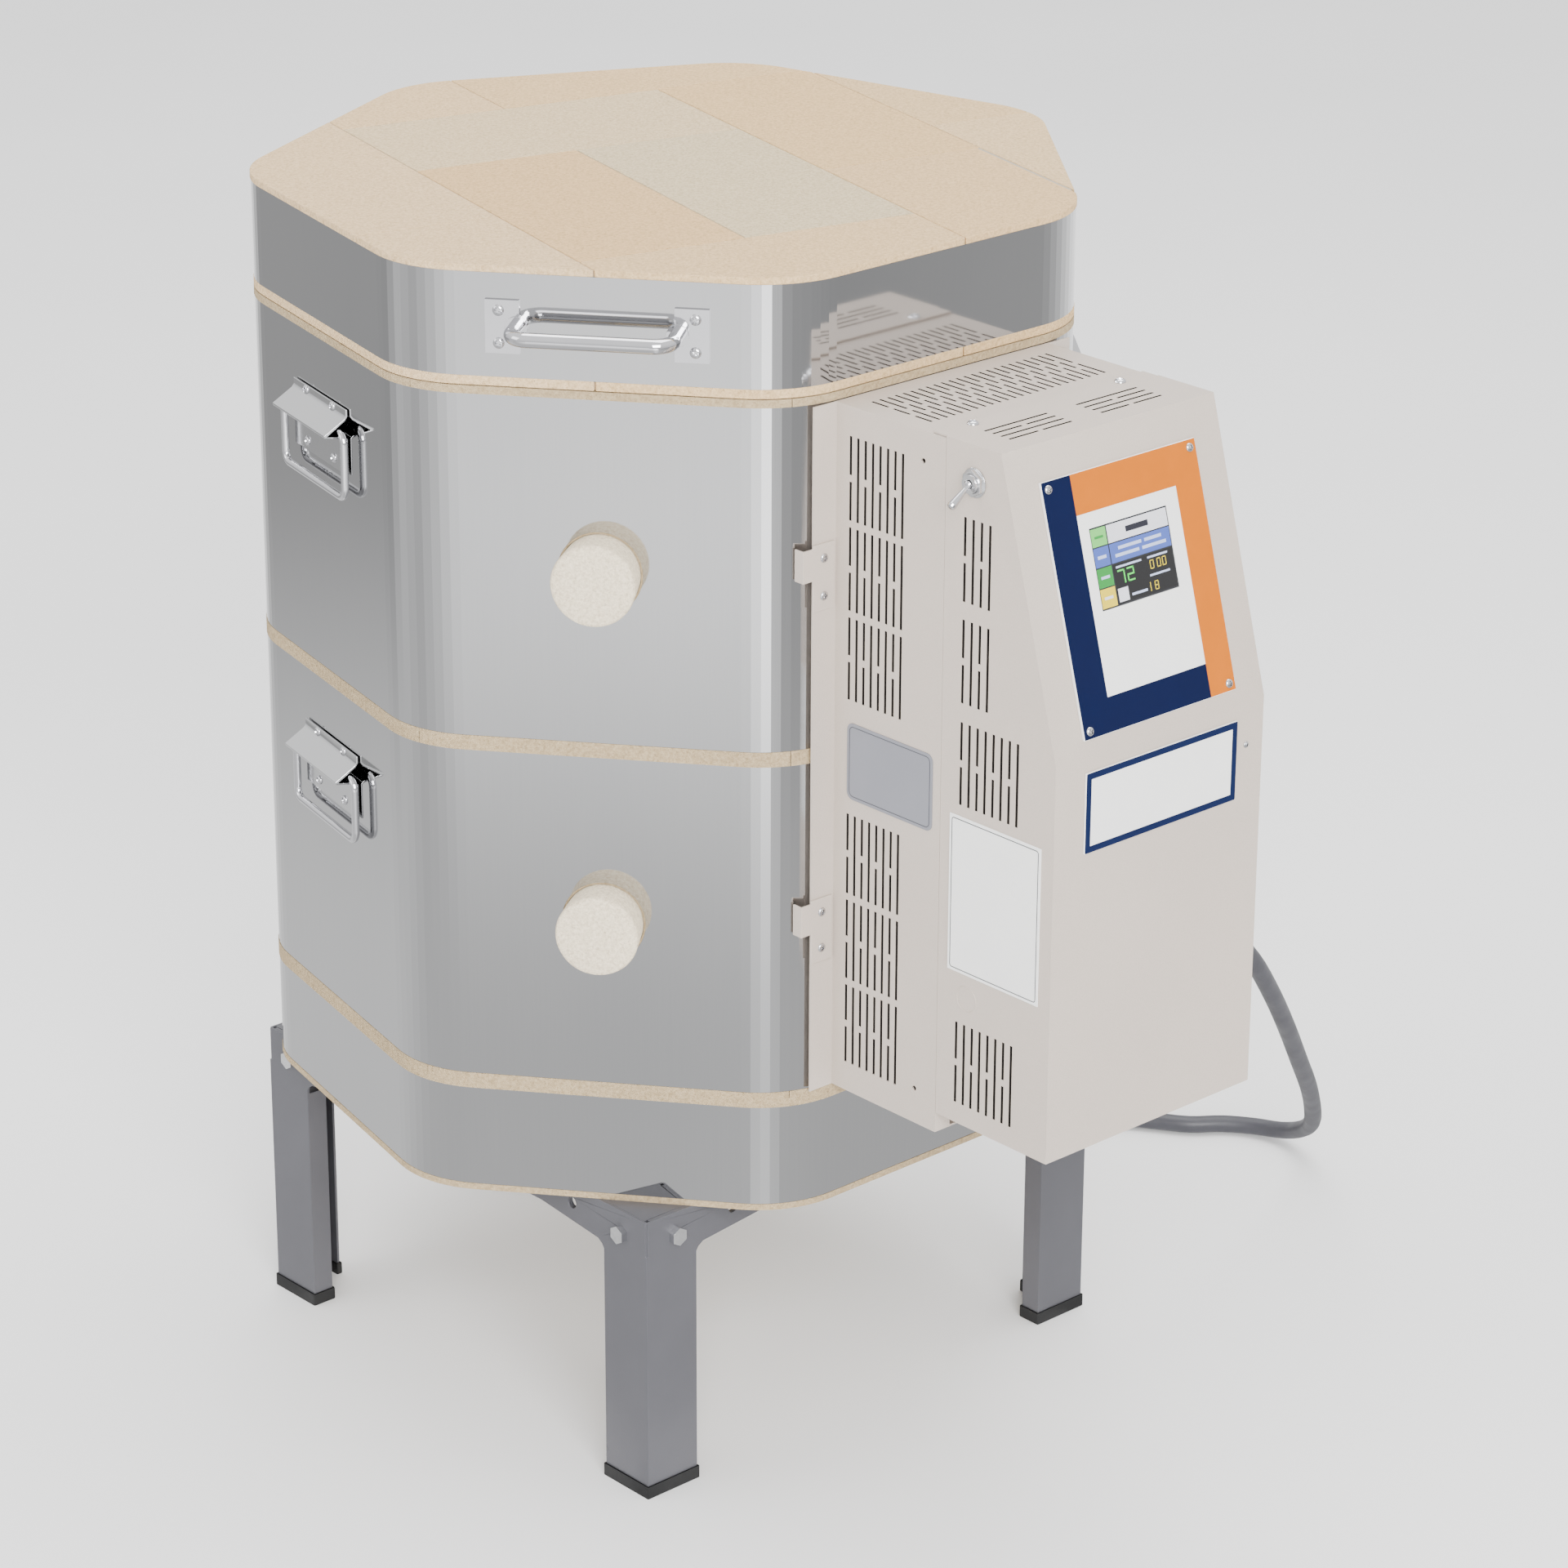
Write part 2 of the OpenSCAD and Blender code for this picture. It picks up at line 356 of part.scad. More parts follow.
module control_box() place() color(grey) on_face(RIGHT) difference() {
  union() {
    side_ext(bx0, bx0 + sheet) box_side2d();
    side_ext(bx1 - sheet, bx1) box_side2d();
    for (x = [bx0 + 20, bx1 - 23]) side_ext(x, x + 3) { translate([hr_o, hr_z]) circle(r = 4); polygon([[hr_o - 2.8, hr_z + 2.8], [hr_o + 2.8, hr_z - 2.8], [hr_o + 20, box_z0 + 0.4], [cb + 0.4, box_z0 + 0.4]]); }
    side_ext(bx0 + sheet - EPS, bx1 - sheet + EPS) polygon([[cb, box_z0], [bo, box_z0], [bo, knee_z], [bt, box_z1], [86, box_z1], [86, box_z1 - sheet], [in_top, box_z1 - sheet], [bo - sheet, in_knee], [bo - sheet, box_z0 + sheet], [cb, box_z0 + sheet]]);
  }
  for (g = [-66.5, 11.5]) for (k = [0 : 3]) for (j = [0 : k % 2]) translate([g + j * 28.5, -(107 + 7 * k) - 0.9, box_z1 - 3]) cube([k % 2 == 0 ? 53 : 24.5, 1.8, 6]);
  for (t = scr_t) translate([t, -92.3, box_z1 - 4]) cylinder(r = 2.3, h = 8);
  on_slant() translate([bxc - 52, 36, -6]) cube([104, 130, 12]);
  rod_x(bx0 - 4, bx0 + 4, -tog_o, tog_z, 6.1);
  rod_x(bx0 + 15, bx1 - 15, -hr_o, hr_z, 2.05);
}
// local frame on the slanted front: +X across, +Y down the slope, +Z outward from the surface
module on_slant() translate([0, -bt, box_z1]) rotate([90 - slant, 0, 0]) mirror([0, 1, 0]) children();
module panel_plate() place() color("whitesmoke") on_face(RIGHT) on_slant() translate([bxc, 0, 0]) difference() {
  translate([-66.5, 23, 0.1]) cube([133, 158.8, 2]);
  translate([-33.5, 58.4, -1]) cube([67, 50.8, 5]);
}
module panel_screws() place() color("white") on_face(RIGHT) on_slant() for (t = [-61, 61]) for (s = [28.3, 176.8]) translate([bxc + t, s, 2.1]) { cylinder(r = 3, h = 1.6); translate([0, 0, -8]) cylinder(r = 1.6, h = 8); }
module touch_screen() place() color([0.1, 0.1, 0.12]) on_face(RIGHT) on_slant() translate([bxc, 0, 0]) {
  translate([-33.3, 58.6, -0.4]) cube([66.6, 50.4, 1.9]);
  translate([-40, 52, -8.4]) cube([80, 64, 8]);
}
module name_plate() place() color("white") on_face(RIGHT) translate([bxc - 66.5, -bo - 1.7, z_f1 + 219.4]) cube([133, 1.6, 52.6]);
module side_plate() place() color("white") on_face(RIGHT) translate([bx0, 0, 0]) side_ext(-0.7, -0.05) translate([107.6, z_f1 + 121.7]) square([79.4, 104.8]);
module box_screws() place() color("white") on_face(RIGHT) for (t = scr_t) translate([t, -92.3, box_z1]) { cylinder(r = 3.8, h = 2.2); translate([0, 0, -9]) cylinder(r = 2, h = 9); }
module box_baffle() place() color("lightgray") on_face(RIGHT) difference() {
  translate([bx0 + 1.6, -(cb + 1.3), box_z0 + 1.6]) cube([bx1 - bx0 - 3.2, 1, box_z1 - box_z0 - 3.4]);
  for (k = [0 : 5]) for (j = [0 : 1]) translate([bx0 + 22 + j * 78, -(cb + 4), box_z0 + 60 + k * 12]) cube([60, 8, 3]);
}
// main switch on the near side wall
module toggle_body() place() color("dimgray") on_face(RIGHT) difference() {
  union() { translate([bx0 + 1.5, -tog_o - 7, tog_z - 14]) cube([22, 14, 28]); rod_x(bx0 - 5.5, bx0 + 2, -tog_o, tog_z, 5.9); }
  rod_x(bx0 - 8, bx0 - 1.9, -tog_o, tog_z, 3.3);
}
module toggle_nut() place() color("whitesmoke") on_face(RIGHT) difference() {
  union() { translate([bx0 - 3.4, -tog_o, tog_z]) rotate([0, 90, 0]) cylinder(r = 8.6, h = 3.2, $fn = 6); rod_x(bx0 - 0.2 - 0.8, bx0 - 0.1, -tog_o, tog_z, 9.4); }
  rod_x(bx0 - 5, bx0 + 5, -tog_o, tog_z, 5.95);
}
tog_x = bx0 - 5; tog_tilt = 36;
module toggle_lever() place() color("whitesmoke") on_face(RIGHT) translate([tog_x, -tog_o, tog_z]) rotate([0, -90 - tog_tilt, 0]) {
  rotate([90, 0, 0]) cylinder(r = 0.7, h = 6.2, center = true, $fn = 16);
  rotate_extrude($fn = 32) polygon([[0, -2.6], [1.4, -2.2], [2.3, -1.3], [2.7, 0], [2.3, 1.3], [1.5, 2.2], [1.5, 4], [2.5, 12], [2.9, 17], [2.5, 18.6], [1.4, 19.4], [0, 19.6]]);
}
// inside the control box
module power_relays() place() color("black") on_face(RIGHT) for (z = [box_z0 + 250, box_z0 + 180]) {
  translate([bx0 + 30, -(cb + 34), z]) cube([48, 32.4, 46]);
  for (q = [8, 20, 32]) translate([bx0 + 34 + q, -(cb + 38), z + 10]) cube([6, 5, 22]);
}
module transformer() place() color("slategray") on_face(RIGHT) {
  translate([bx0 + 112, -(cb + 42), box_z0 + 200]) cube([44, 36, 52]);
  translate([bx0 + 104, -(cb + 36), box_z0 + 208]) cube([60, 24, 36]);
  translate([bx0 + 112, -(cb + 6.1), box_z0 + 192]) cube([44, 4.6, 68]);
}
module control_board() place() color("darkgreen") on_face(RIGHT) on_slant() {
  translate([bxc - 50, 40, -14.4]) cube([100, 122, 1.6]);
  translate([bxc - 44, 128, -26]) cube([70, 22, 11.6]);
  for (x = [-46, 42]) for (y = [44, 154]) translate([bxc + x, y, -12.8]) cylinder(r = 2.4, h = 3.2);
}
module terminal_block() place() color("ivory") on_face(RIGHT) {
  translate([bx0 + 24, -(cb + 26), box_z0 + 40]) difference() {
    cube([92, 24.5, 30]);
    for (k = [0 : 3]) translate([6 + 22 * k, -1, 8]) cube([16, 12, 14]);
  }
}

// ---------- mains cord ----------
cd = 13;
module cord_gland() place() color([0.12, 0.12, 0.13]) on_face(RIGHT) translate([bx1, -gl_o, gl_z]) rotate([0, 90, 0]) {
  translate([0, 0, -8]) cylinder(r = 9.9, h = 8);
  translate([0, 0, -8]) cylinder(r = 14, h = 6.6, $fn = 6);
  cylinder(r = 14, h = 9);
  translate([0, 0, 9]) cylinder(r1 = 11, r2 = 7.6, h = 26);
}
coil_x = -155; coil_y = 240; coil_m = 72; coil_w = 13.6; coil_hh = 26;
plug_a = 20; plug_d0 = 28;   // the plug lies beside the coil, this far along the tangent that leaves it
// hand-chosen points of the mains cord, from the gland, down to the floor behind the kiln and into the coil
gl_p = [(A + gl_o) * cos(RIGHT) + (bx1 + 35) * cos(RIGHT + 90), (A + gl_o) * sin(RIGHT) + (bx1 + 35) * sin(RIGHT + 90), gl_z];
gl_q = gl_p + 20 * [cos(RIGHT + 90), sin(RIGHT + 90), 0];
via = [[380, -49, 334], [398, -10, 298], [411, 38, 250], [420, 88, 202], [427, 138, 156], [433, 188, 114], [436, 236, 76], [433, 280, 42], [424, 312, 18], [408, 328, 8], [388, 328, 7], [364, 324, 7], [338, 323, 7], [313, 325, 7], [280, 327, 7], [240, 327, 7], [200, 327, 7], [150, 326, 7], [100, 325, 7], [50, 325, 7], [0, 325, 7], [-50, 323, 7], [-95, 318, 7], [-130, 313, 7], [-155, 312, 7]];
function spl(a, b, c, d, t) = 0.5 * ((2 * b) + (c - a) * t + (2 * a - 5 * b + 4 * c - d) * t * t + (3 * b - a - 3 * c + d) * t * t * t);
pts0 = concat([gl_p, gl_q], via);
np = len(pts0);
route = concat([for (i = [0 : np - 2]) for (t = [0, 0.5]) spl(pts0[max(i - 1, 0)], pts0[i], pts0[i + 1], pts0[min(i + 2, np - 1)], t)], [pts0[np - 1]]);
module power_cord() place() color([0.35, 0.35, 0.37]) tube(route, cd / 2, 10);
module cord_coil() place() color([0.35, 0.35, 0.37]) translate([coil_x, coil_y, 0.5]) rotate_extrude() translate([coil_m - coil_w / 2, 0]) square([coil_w, coil_hh]);
module at_plug() translate([coil_x + coil_m * cos(plug_a - 90), coil_y + coil_m * sin(plug_a - 90), 0]) rotate([0, 0, plug_a]) translate([plug_d0, 0, 16.5]) children();
module cord_plug() place() color([0.1, 0.1, 0.11]) at_plug() {
  rotate([0, 90, 0]) cylinder(r1 = 7.2, r2 = 11, h = 30);
  translate([30, -17, -14]) cube([34, 34, 28]);
  translate([64, -21, -16]) cube([10, 42, 32]);
}
module plug_blades() place() color("goldenrod") at_plug() {
  for (y = [-12.4, 10.6]) translate([74, y, -10]) cube([18, 1.8, 8]);
  translate([74, 0, 8]) rotate([0, 90, 0]) cylinder(r = 3, h = 19);
}

leg_front();
leg_left();
leg_right();
leg_rear();
foot_caps();
stand_rails();
stand_bolts();
floor_slab();
floor_band();
lower_ring_bricks();
lower_ring_jacket();
upper_ring_bricks();
upper_ring_jacket();
element_holders();
heating_elements();
element_tails();
terminal_insulators();
thermocouple();
lower_lift_brackets();
upper_lift_brackets();
body_screws();
bail_upper_left();
bail_upper_right();
bail_lower_left();
bail_lower_right();
peep_plug_upper();
peep_plug_lower();
lid_slab();
lid_band();
lid_handle_plates();
lid_handle_bar();
lid_screws();
lid_hinge_leaf();
base_hinge_leaf();
hinge_pin();
element_cover();
cover_brackets();
cover_label();
box_hinge_rod();
control_box();
box_baffle();
box_screws();
panel_plate();
panel_screws();
touch_screen();
name_plate();
side_plate();
toggle_body();
toggle_nut();
toggle_lever();
power_relays();
transformer();
control_board();
terminal_block();
cord_gland();
power_cord();
cord_coil();
cord_plug();
plug_blades();
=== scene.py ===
import bpy, bmesh, math, random
from mathutils import Matrix, Vector, noise


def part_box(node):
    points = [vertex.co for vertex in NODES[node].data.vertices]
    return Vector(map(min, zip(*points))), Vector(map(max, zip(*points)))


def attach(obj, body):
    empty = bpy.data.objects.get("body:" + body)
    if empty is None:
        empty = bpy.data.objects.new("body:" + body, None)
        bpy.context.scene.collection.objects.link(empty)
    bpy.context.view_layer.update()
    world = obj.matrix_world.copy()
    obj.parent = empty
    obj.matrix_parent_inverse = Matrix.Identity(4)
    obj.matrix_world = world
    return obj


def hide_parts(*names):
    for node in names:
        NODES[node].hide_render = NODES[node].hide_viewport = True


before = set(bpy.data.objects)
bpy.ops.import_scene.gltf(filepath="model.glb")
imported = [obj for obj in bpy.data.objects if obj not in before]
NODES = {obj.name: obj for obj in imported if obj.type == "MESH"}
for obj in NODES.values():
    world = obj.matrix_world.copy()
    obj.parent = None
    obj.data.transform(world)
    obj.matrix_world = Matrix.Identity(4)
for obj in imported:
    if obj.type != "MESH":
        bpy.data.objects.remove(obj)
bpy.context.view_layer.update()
random.seed(4)

# ------------------------------------------------------------------ frame of the kiln
lo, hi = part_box("lid_slab")
AX = (lo[0] + hi[0]) / 2
AY = lo[1] + 0.2544
A = 0.254
STEP = 2 * math.pi / 7
HA = math.pi / 7
FRONT = -math.pi / 2
RIGHT = FRONT + STEP
LEFT = FRONT - STEP
FARR = FRONT + 2 * STEP
BACKL = FRONT + 4 * STEP
BACKR = FRONT + 3 * STEP


def K(x, y, z):
    "millimetres about the kiln's axis to the row frame in metres"
    return Vector((x / 1000 + AX, y / 1000 + AY, z / 1000))


def face(a, off=0.0):
    "matrix of a face's own frame: x along the face, -y outward, z up, in metres"
    return Matrix.Translation((AX, AY, 0)) @ Matrix.Rotation(a + math.pi / 2, 4, "Z") @ Matrix.Translation((0, -(A + off), 0))


# ------------------------------------------------------------------ camera
cam_d = bpy.data.cameras.new("cam")
cam = bpy.data.objects.new("cam", cam_d)
bpy.context.scene.collection.objects.link(cam)
v = Vector((-0.14713, 0.91496, -0.37576)).normalized()
r = v.cross(Vector((0, 0, 1))).normalized()
u = r.cross(v)
ro = math.radians(0.22)
r2 = r * math.cos(ro) + u * math.sin(ro)
u2 = u * math.cos(ro) - r * math.sin(ro)
M = Matrix((r2, u2, -v)).transposed().to_4x4()
M.translation = K(572.9, -3095.0, 1669.9)
cam.matrix_world = M
cam_d.sensor_width = 36
cam_d.lens = 6070.6 / 1920 * 36
cam_d.clip_end = 100
bpy.context.scene.camera = cam


# ------------------------------------------------------------------ node helpers
def new_mat(name):
    m = bpy.data.materials.new(name)
    m.use_nodes = True
    nt = m.node_tree
    for n in list(nt.nodes):
        nt.nodes.remove(n)
    out = nt.nodes.new("ShaderNodeOutputMaterial")
    b = nt.nodes.new("ShaderNodeBsdfPrincipled")
    nt.links.new(b.outputs[0], out.inputs[0])
    return m, nt, b


def coord(nt, scale=1.0, stretch=(1, 1, 1)):
    tc = nt.nodes.new("ShaderNodeTexCoord")
    mp = nt.nodes.new("ShaderNodeMapping")
    mp.inputs["Scale"].default_value = [scale * s for s in stretch]
    nt.links.new(tc.outputs["Object"], mp.inputs[0])
    return mp.outputs[0]


def tex(nt, vec, scale, detail=3, rough=0.5, kind="noise", **kw):
    if kind == "noise":
        n = nt.nodes.new("ShaderNodeTexNoise")
        n.inputs["Detail"].default_value = detail
        n.inputs["Roughness"].default_value = rough
    elif kind == "voronoi":
        n = nt.nodes.new("ShaderNodeTexVoronoi")
    n.inputs["Scale"].default_value = scale
    nt.links.new(vec, n.inputs["Vector"])
    return n.outputs[0]


def ramp(nt, fac, stops):
    n = nt.nodes.new("ShaderNodeValToRGB")
    e = n.color_ramp.elements
    while len(e) < len(stops):
        e.new(0.5)
    for i, (p, c) in enumerate(stops):
        e[i].position = p
        e[i].color = (*c, 1) if len(c) == 3 else c
    nt.links.new(fac, n.inputs[0])
    return n.outputs[0]


def math_n(nt, op, a, b=None, c=None, clamp=False):
    n = nt.nodes.new("ShaderNodeMath")
    n.operation = op
    n.use_clamp = clamp
    for i, q in enumerate((a, b, c)):
        if q is None:
            continue
        if isinstance(q, (int, float)):
            n.inputs[i].default_value = q
        else:
            nt.links.new(q, n.inputs[i])
    return n.outputs[0]


def mixc(nt, fac, a, b, mode="MIX"):
    n = nt.nodes.new("ShaderNodeMix")
    n.data_type = "RGBA"
    n.blend_type = mode
    if isinstance(fac, (int, float)):
        n.inputs[0].default_value = fac
    else:
        nt.links.new(fac, n.inputs[0])
    for i, q in ((6, a), (7, b)):
        if isinstance(q, (tuple, list)):
            n.inputs[i].default_value = (*q, 1) if len(q) == 3 else q
        else:
            nt.links.new(q, n.inputs[i])
    return n.outputs[2]


def bump(nt, b, height, strength, dist=0.001, prev=None):
    n = nt.nodes.new("ShaderNodeBump")
    n.inputs["Strength"].default_value = strength
    n.inputs["Distance"].default_value = dist
    nt.links.new(height, n.inputs["Height"])
    if prev is not None:
        nt.links.new(prev, n.inputs["Normal"])
    nt.links.new(n.outputs[0], b.inputs["Normal"])
    return n.outputs[0]


def srgb(r, g, b):
    f = lambda c: ((c / 255) / 12.92) if c / 255 <= 0.04045 else ((c / 255 + 0.055) / 1.055) ** 2.4
    return (f(r), f(g), f(b))


def simple(name, col, rough, metal=0.0, vary=0.06, scale=40, bstr=0.1, bscale=300, bdist=0.0004, coat=0.0, spec=0.5, edge=0.0, rvary=0.08):
    "painted, moulded or plated finish: tone variation, uneven gloss and a fine surface"
    m, nt, b = new_mat(name)
    vec = coord(nt)
    n1 = tex(nt, vec, scale, 4, 0.6)
    dark = tuple(c * (1 - vary) for c in col)
    light = tuple(min(1, c * (1 + vary)) for c in col)
    c = ramp(nt, n1, [(0.3, dark), (0.7, light)])
    nt.links.new(c, b.inputs["Base Color"])
    n2 = tex(nt, vec, scale * 0.6, 3, 0.5)
    rr = ramp(nt, n2, [(0.3, (max(0, rough - rvary),) * 3), (0.7, (min(1, rough + rvary),) * 3)])
    nt.links.new(rr, b.inputs["Roughness"])
    b.inputs["Metallic"].default_value = metal
    b.inputs["Coat Weight"].default_value = coat
    b.inputs["Specular IOR Level"].default_value = spec
    if bstr:
        bump(nt, b, tex(nt, vec, bscale, 2, 0.5), bstr, bdist)
    return m


def brick_mat(name, base=srgb(226, 208, 178), tint_attr=False):
    "insulating firebrick: open, sandy grain with small pits and specks"
    m, nt, b = new_mat(name)
    vec = coord(nt)
    big = tex(nt, vec, 9, 4, 0.6)
    fine = tex(nt, vec, 420, 4, 0.7)
    grain = tex(nt, vec, 900, 2, 0.6)
    pits = tex(nt, vec, 260, kind="voronoi")
    if tint_attr:
        at = nt.nodes.new("ShaderNodeAttribute")
        at.attribute_name = "tint"
        basec = at.outputs["Color"]
    else:
        basec = ramp(nt, big, [(0.32, tuple(c * 0.93 for c in base)), (0.7, tuple(min(1, c * 1.05) for c in base))])
    c1 = mixc(nt, 0.55, basec, ramp(nt, fine, [(0.32, (0.52, 0.47, 0.38)), (0.60, (1, 1, 1))]), "MULTIPLY")
    c2 = mixc(nt, 0.5, c1, ramp(nt, grain, [(0.36, (0.72, 0.68, 0.6)), (0.5, (1, 1, 1))]), "MULTIPLY")
    nt.links.new(c2, b.inputs["Base Color"])
    b.inputs["Roughness"].default_value = 0.93
    b.inputs["Specular IOR Level"].default_value = 0.25
    pr = ramp(nt, pits, [(0.0, (0, 0, 0)), (0.16, (1, 1, 1))])
    h = math_n(nt, "ADD", math_n(nt, "MULTIPLY", fine, 1.0), math_n(nt, "MULTIPLY", pr, 0.5))
    n = bump(nt, b, h, 0.8, 0.0016)
    bump(nt, b, big, 0.15, 0.002, n)
    return m


def steel_mat(name, tone=0.62, rough=0.17, wav=0.10, streak=0.6):
    "rolled stainless sheet: faint vertical rolling lines, smears and long waves in the reflection"
    m, nt, b = new_mat(name)
    vec = coord(nt)
    st = tex(nt, coord(nt, 1.0, (1, 1, 0.012)), 900, 3, 0.6)
    smear = tex(nt, coord(nt, 1.0, (1, 1, 0.5)), 6, 4, 0.55)
    c = mixc(nt, 0.5, ramp(nt, smear, [(0.3, (tone * 0.94, tone * 0.95, tone * 0.98)), (0.7, (tone * 1.05, tone * 1.05, tone * 1.06))]),
             ramp(nt, st, [(0.25, (tone * 0.975, tone * 0.98, tone * 0.99)), (0.75, (tone * 1.02, tone * 1.02, tone * 1.025))]))
    nt.links.new(c, b.inputs["Base Color"])
    b.inputs["Metallic"].default_value = 1.0
    rr = ramp(nt, smear, [(0.3, (rough * 0.8,) * 3), (0.75, (rough * 1.35,) * 3)])
    nt.links.new(rr, b.inputs["Roughness"])
    b.inputs["Anisotropic"].default_value = 0.35
    n = bump(nt, b, st, 0.02 * streak, 0.0002)
    bump(nt, b, tex(nt, vec, 3.2, 2, 0.4), wav, 0.004, n)
    return m


def powder_mat(name, col):
    "fine-textured powder coat"
    m, nt, b = new_mat(name)
    vec = coord(nt)
    tone = tex(nt, vec, 5, 3, 0.5)
    spk = tex(nt, vec, 1500, 2, 0.6)
    base = ramp(nt, tone, [(0.3, tuple(c * 0.97 for c in col)), (0.7, tuple(min(1, c * 1.03) for c in col))])
    c = mixc(nt, 0.5, base, ramp(nt, spk, [(0.35, (0.86, 0.86, 0.86)), (0.6, (1, 1, 1))]), "MULTIPLY")
    nt.links.new(c, b.inputs["Base Color"])
    b.inputs["Roughness"].default_value = 0.46
    n = bump(nt, b, tex(nt, vec, 850, 3, 0.6), 0.30, 0.0005)
    return m


MAT = {}
MAT["brick"] = brick_mat("firebrick", tuple(a * b for a, b in zip(srgb(226, 208, 178), (0.62, 0.58, 0.50))))
MAT["brick_tint"] = brick_mat("firebrick_lid", tint_attr=True)
MAT["joint"] = simple("brick_mortar", srgb(170, 160, 146), 0.95, vary=0.12, scale=300, bstr=0.5, bscale=900, bdist=0.0006)
MAT["plug"] = brick_mat("plug_ceramic", srgb(240, 226, 200))
MAT["jacket"] = steel_mat("stainless_jacket", 0.5, 0.055, 0.03, 0.5)
MAT["bracket_steel"] = steel_mat("bracket_steel", 0.58, 0.12, 0.03)
MAT["chrome"] = simple("chrome_plate", (0.62, 0.62, 0.64), 0.06, 1.0, vary=0.03, scale=30, bstr=0.02, bscale=120, rvary=0.03)
MAT["zinc"] = simple("zinc_plate", (0.72, 0.72, 0.73), 0.2, 1.0, vary=0.08, scale=120, bstr=0.1, bscale=500, rvary=0.07)
MAT["coat"] = powder_mat("grey_powder_coat", srgb(189, 177, 166))
MAT["leg"] = simple("leg_powder_coat", srgb(92, 92, 97), 0.34, 0.35, vary=0.05, scale=14, bstr=0.15, bscale=900, bdist=0.0003)
MAT["cap"] = simple("foot_rubber", srgb(9, 9, 10), 0.6, vary=0.15, scale=60, bstr=0.2, bscale=700)
MAT["black"] = simple("black_moulding", srgb(30, 30, 33), 0.42, vary=0.12, scale=60, bstr=0.15, bscale=900)
MAT["cord"] = simple("cord_jacket", srgb(62, 62, 68), 0.48, vary=0.07, scale=80, bstr=0.12, bscale=600)
MAT["brass"] = simple("brass_blades", (0.78, 0.6, 0.28), 0.22, 1.0, vary=0.06, scale=120, bstr=0.06)
MAT["porcelain"] = simple("porcelain", srgb(232, 228, 216), 0.22, vary=0.03, scale=60, bstr=0.05, coat=0.4)
MAT["holder"] = simple("holder_ceramic", srgb(214, 198, 168), 0.75, vary=0.08, scale=90, bstr=0.35, bscale=700, bdist=0.0006)
MAT["wire"] = simple("resistance_wire", srgb(92, 86, 82), 0.5, 0.7, vary=0.25, scale=160, bstr=0.2, bscale=900)
MAT["pcb"] = simple("board_green", srgb(20, 92, 44), 0.32, vary=0.2, scale=260, bstr=0.1, bscale=400)
MAT["lam"] = simple("transformer_core", srgb(96, 74, 56), 0.45, 0.4, vary=0.25, scale=400, bstr=0.3, bscale=900)
MAT["inner"] = simple("box_inner_zinc", (0.5, 0.5, 0.5), 0.4, 1.0, vary=0.12, scale=80, bstr=0.1, bscale=300)
MAT["label_grey"] = simple("label_grey", srgb(128, 129, 136), 0.5, vary=0.02, scale=30, bstr=0.04, spec=0.2)
MAT["label_white"] = simple("label_white", srgb(236, 236, 234), 0.35, vary=0.015, scale=30, bstr=0.03, coat=0.4)
MAT["label_line"] = simple("label_line", srgb(60, 62, 70), 0.4, vary=0.05, scale=60, bstr=0.03)
MAT["label_blue"] = simple("label_blue", (0.003, 0.010, 0.05), 0.5, vary=0.04, scale=60, bstr=0.03, spec=0.12)
MAT["screen_glass"] = simple("screen_bezel", srgb(30, 32, 38), 0.12, vary=0.1, scale=60, bstr=0.0, coat=0.6)


def glow(name, col, strength=0.25):
    m, nt, b = new_mat(name)
    vec = coord(nt)
    n = tex(nt, vec, 3500, 1, 0.5)
    c = ramp(nt, n, [(0.3, tuple(q * 0.92 for q in col)), (0.7, col)])
    nt.links.new(c, b.inputs["Base Color"])
    nt.links.new(c, b.inputs["Emission Color"])
    b.inputs["Emission Strength"].default_value = 0.05
    b.inputs["Roughness"].default_value = 0.18
    b.inputs["Coat Weight"].default_value = 0.5
    return m


SCR = {k: glow("tile_" + k, tuple(q ** 1.5 * 0.8 for q in srgb(*c))) for k, c in {
    "lgreen": (150, 222, 140), "white": (240, 240, 246), "blue": (112, 136, 206), "green": (62, 178, 92),
    "yellow": (244, 224, 74), "dark": (18, 18, 24), "digit": (104, 236, 120), "amber": (238, 220, 70), "text": (214, 222, 246), "ink": (40, 42, 70)}.items()}


# panel plate: plain colour bands in the slanted face's own frame
BT, BO = 0.1451, 0.197
BZ1, KZ = 0.7493, 0.5648
SL = math.atan2(BO - BT, BZ1 - KZ)


def slant():
    "x across, y up the slope from its top edge, z outward"
    return face(RIGHT) @ Matrix.Translation((0, -BT, BZ1)) @ Matrix.Rotation(math.pi / 2 - SL, 4, "X")


# ------------------------------------------------------------------ mesh helpers
def obj_from_bm(name, bm, mat, body, smooth=40, replaces=()):
    me = bpy.data.meshes.new(name)
    bmesh.ops.remove_doubles(bm, verts=bm.verts, dist=1e-6)
    bmesh.ops.recalc_face_normals(bm, faces=bm.faces)
    bm.to_mesh(me)
    bm.free()
    o = bpy.data.objects.new(name, me)
    bpy.context.scene.collection.objects.link(o)
    for m in (mat if isinstance(mat, (list, tuple)) else [mat]):
        me.materials.append(m)
    if smooth:
        for p in me.polygons:
            p.use_smooth = True
        me.set_sharp_from_angle(angle=math.radians(smooth))
    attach(o, body)
    if replaces:
        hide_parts(*replaces)
    return o


def bevel(o, w, seg=2, ang=35):
    b = o.modifiers.new("bevel", "BEVEL")
    b.width = w
    b.segments = seg
    b.limit_method = "ANGLE"
    b.angle_limit = math.radians(ang)
    wn_ = o.modifiers.new("normals", "WEIGHTED_NORMAL")
    wn_.mode = "FACE_AREA"
    wn_.weight = 100
    wn_.keep_sharp = True
    return b


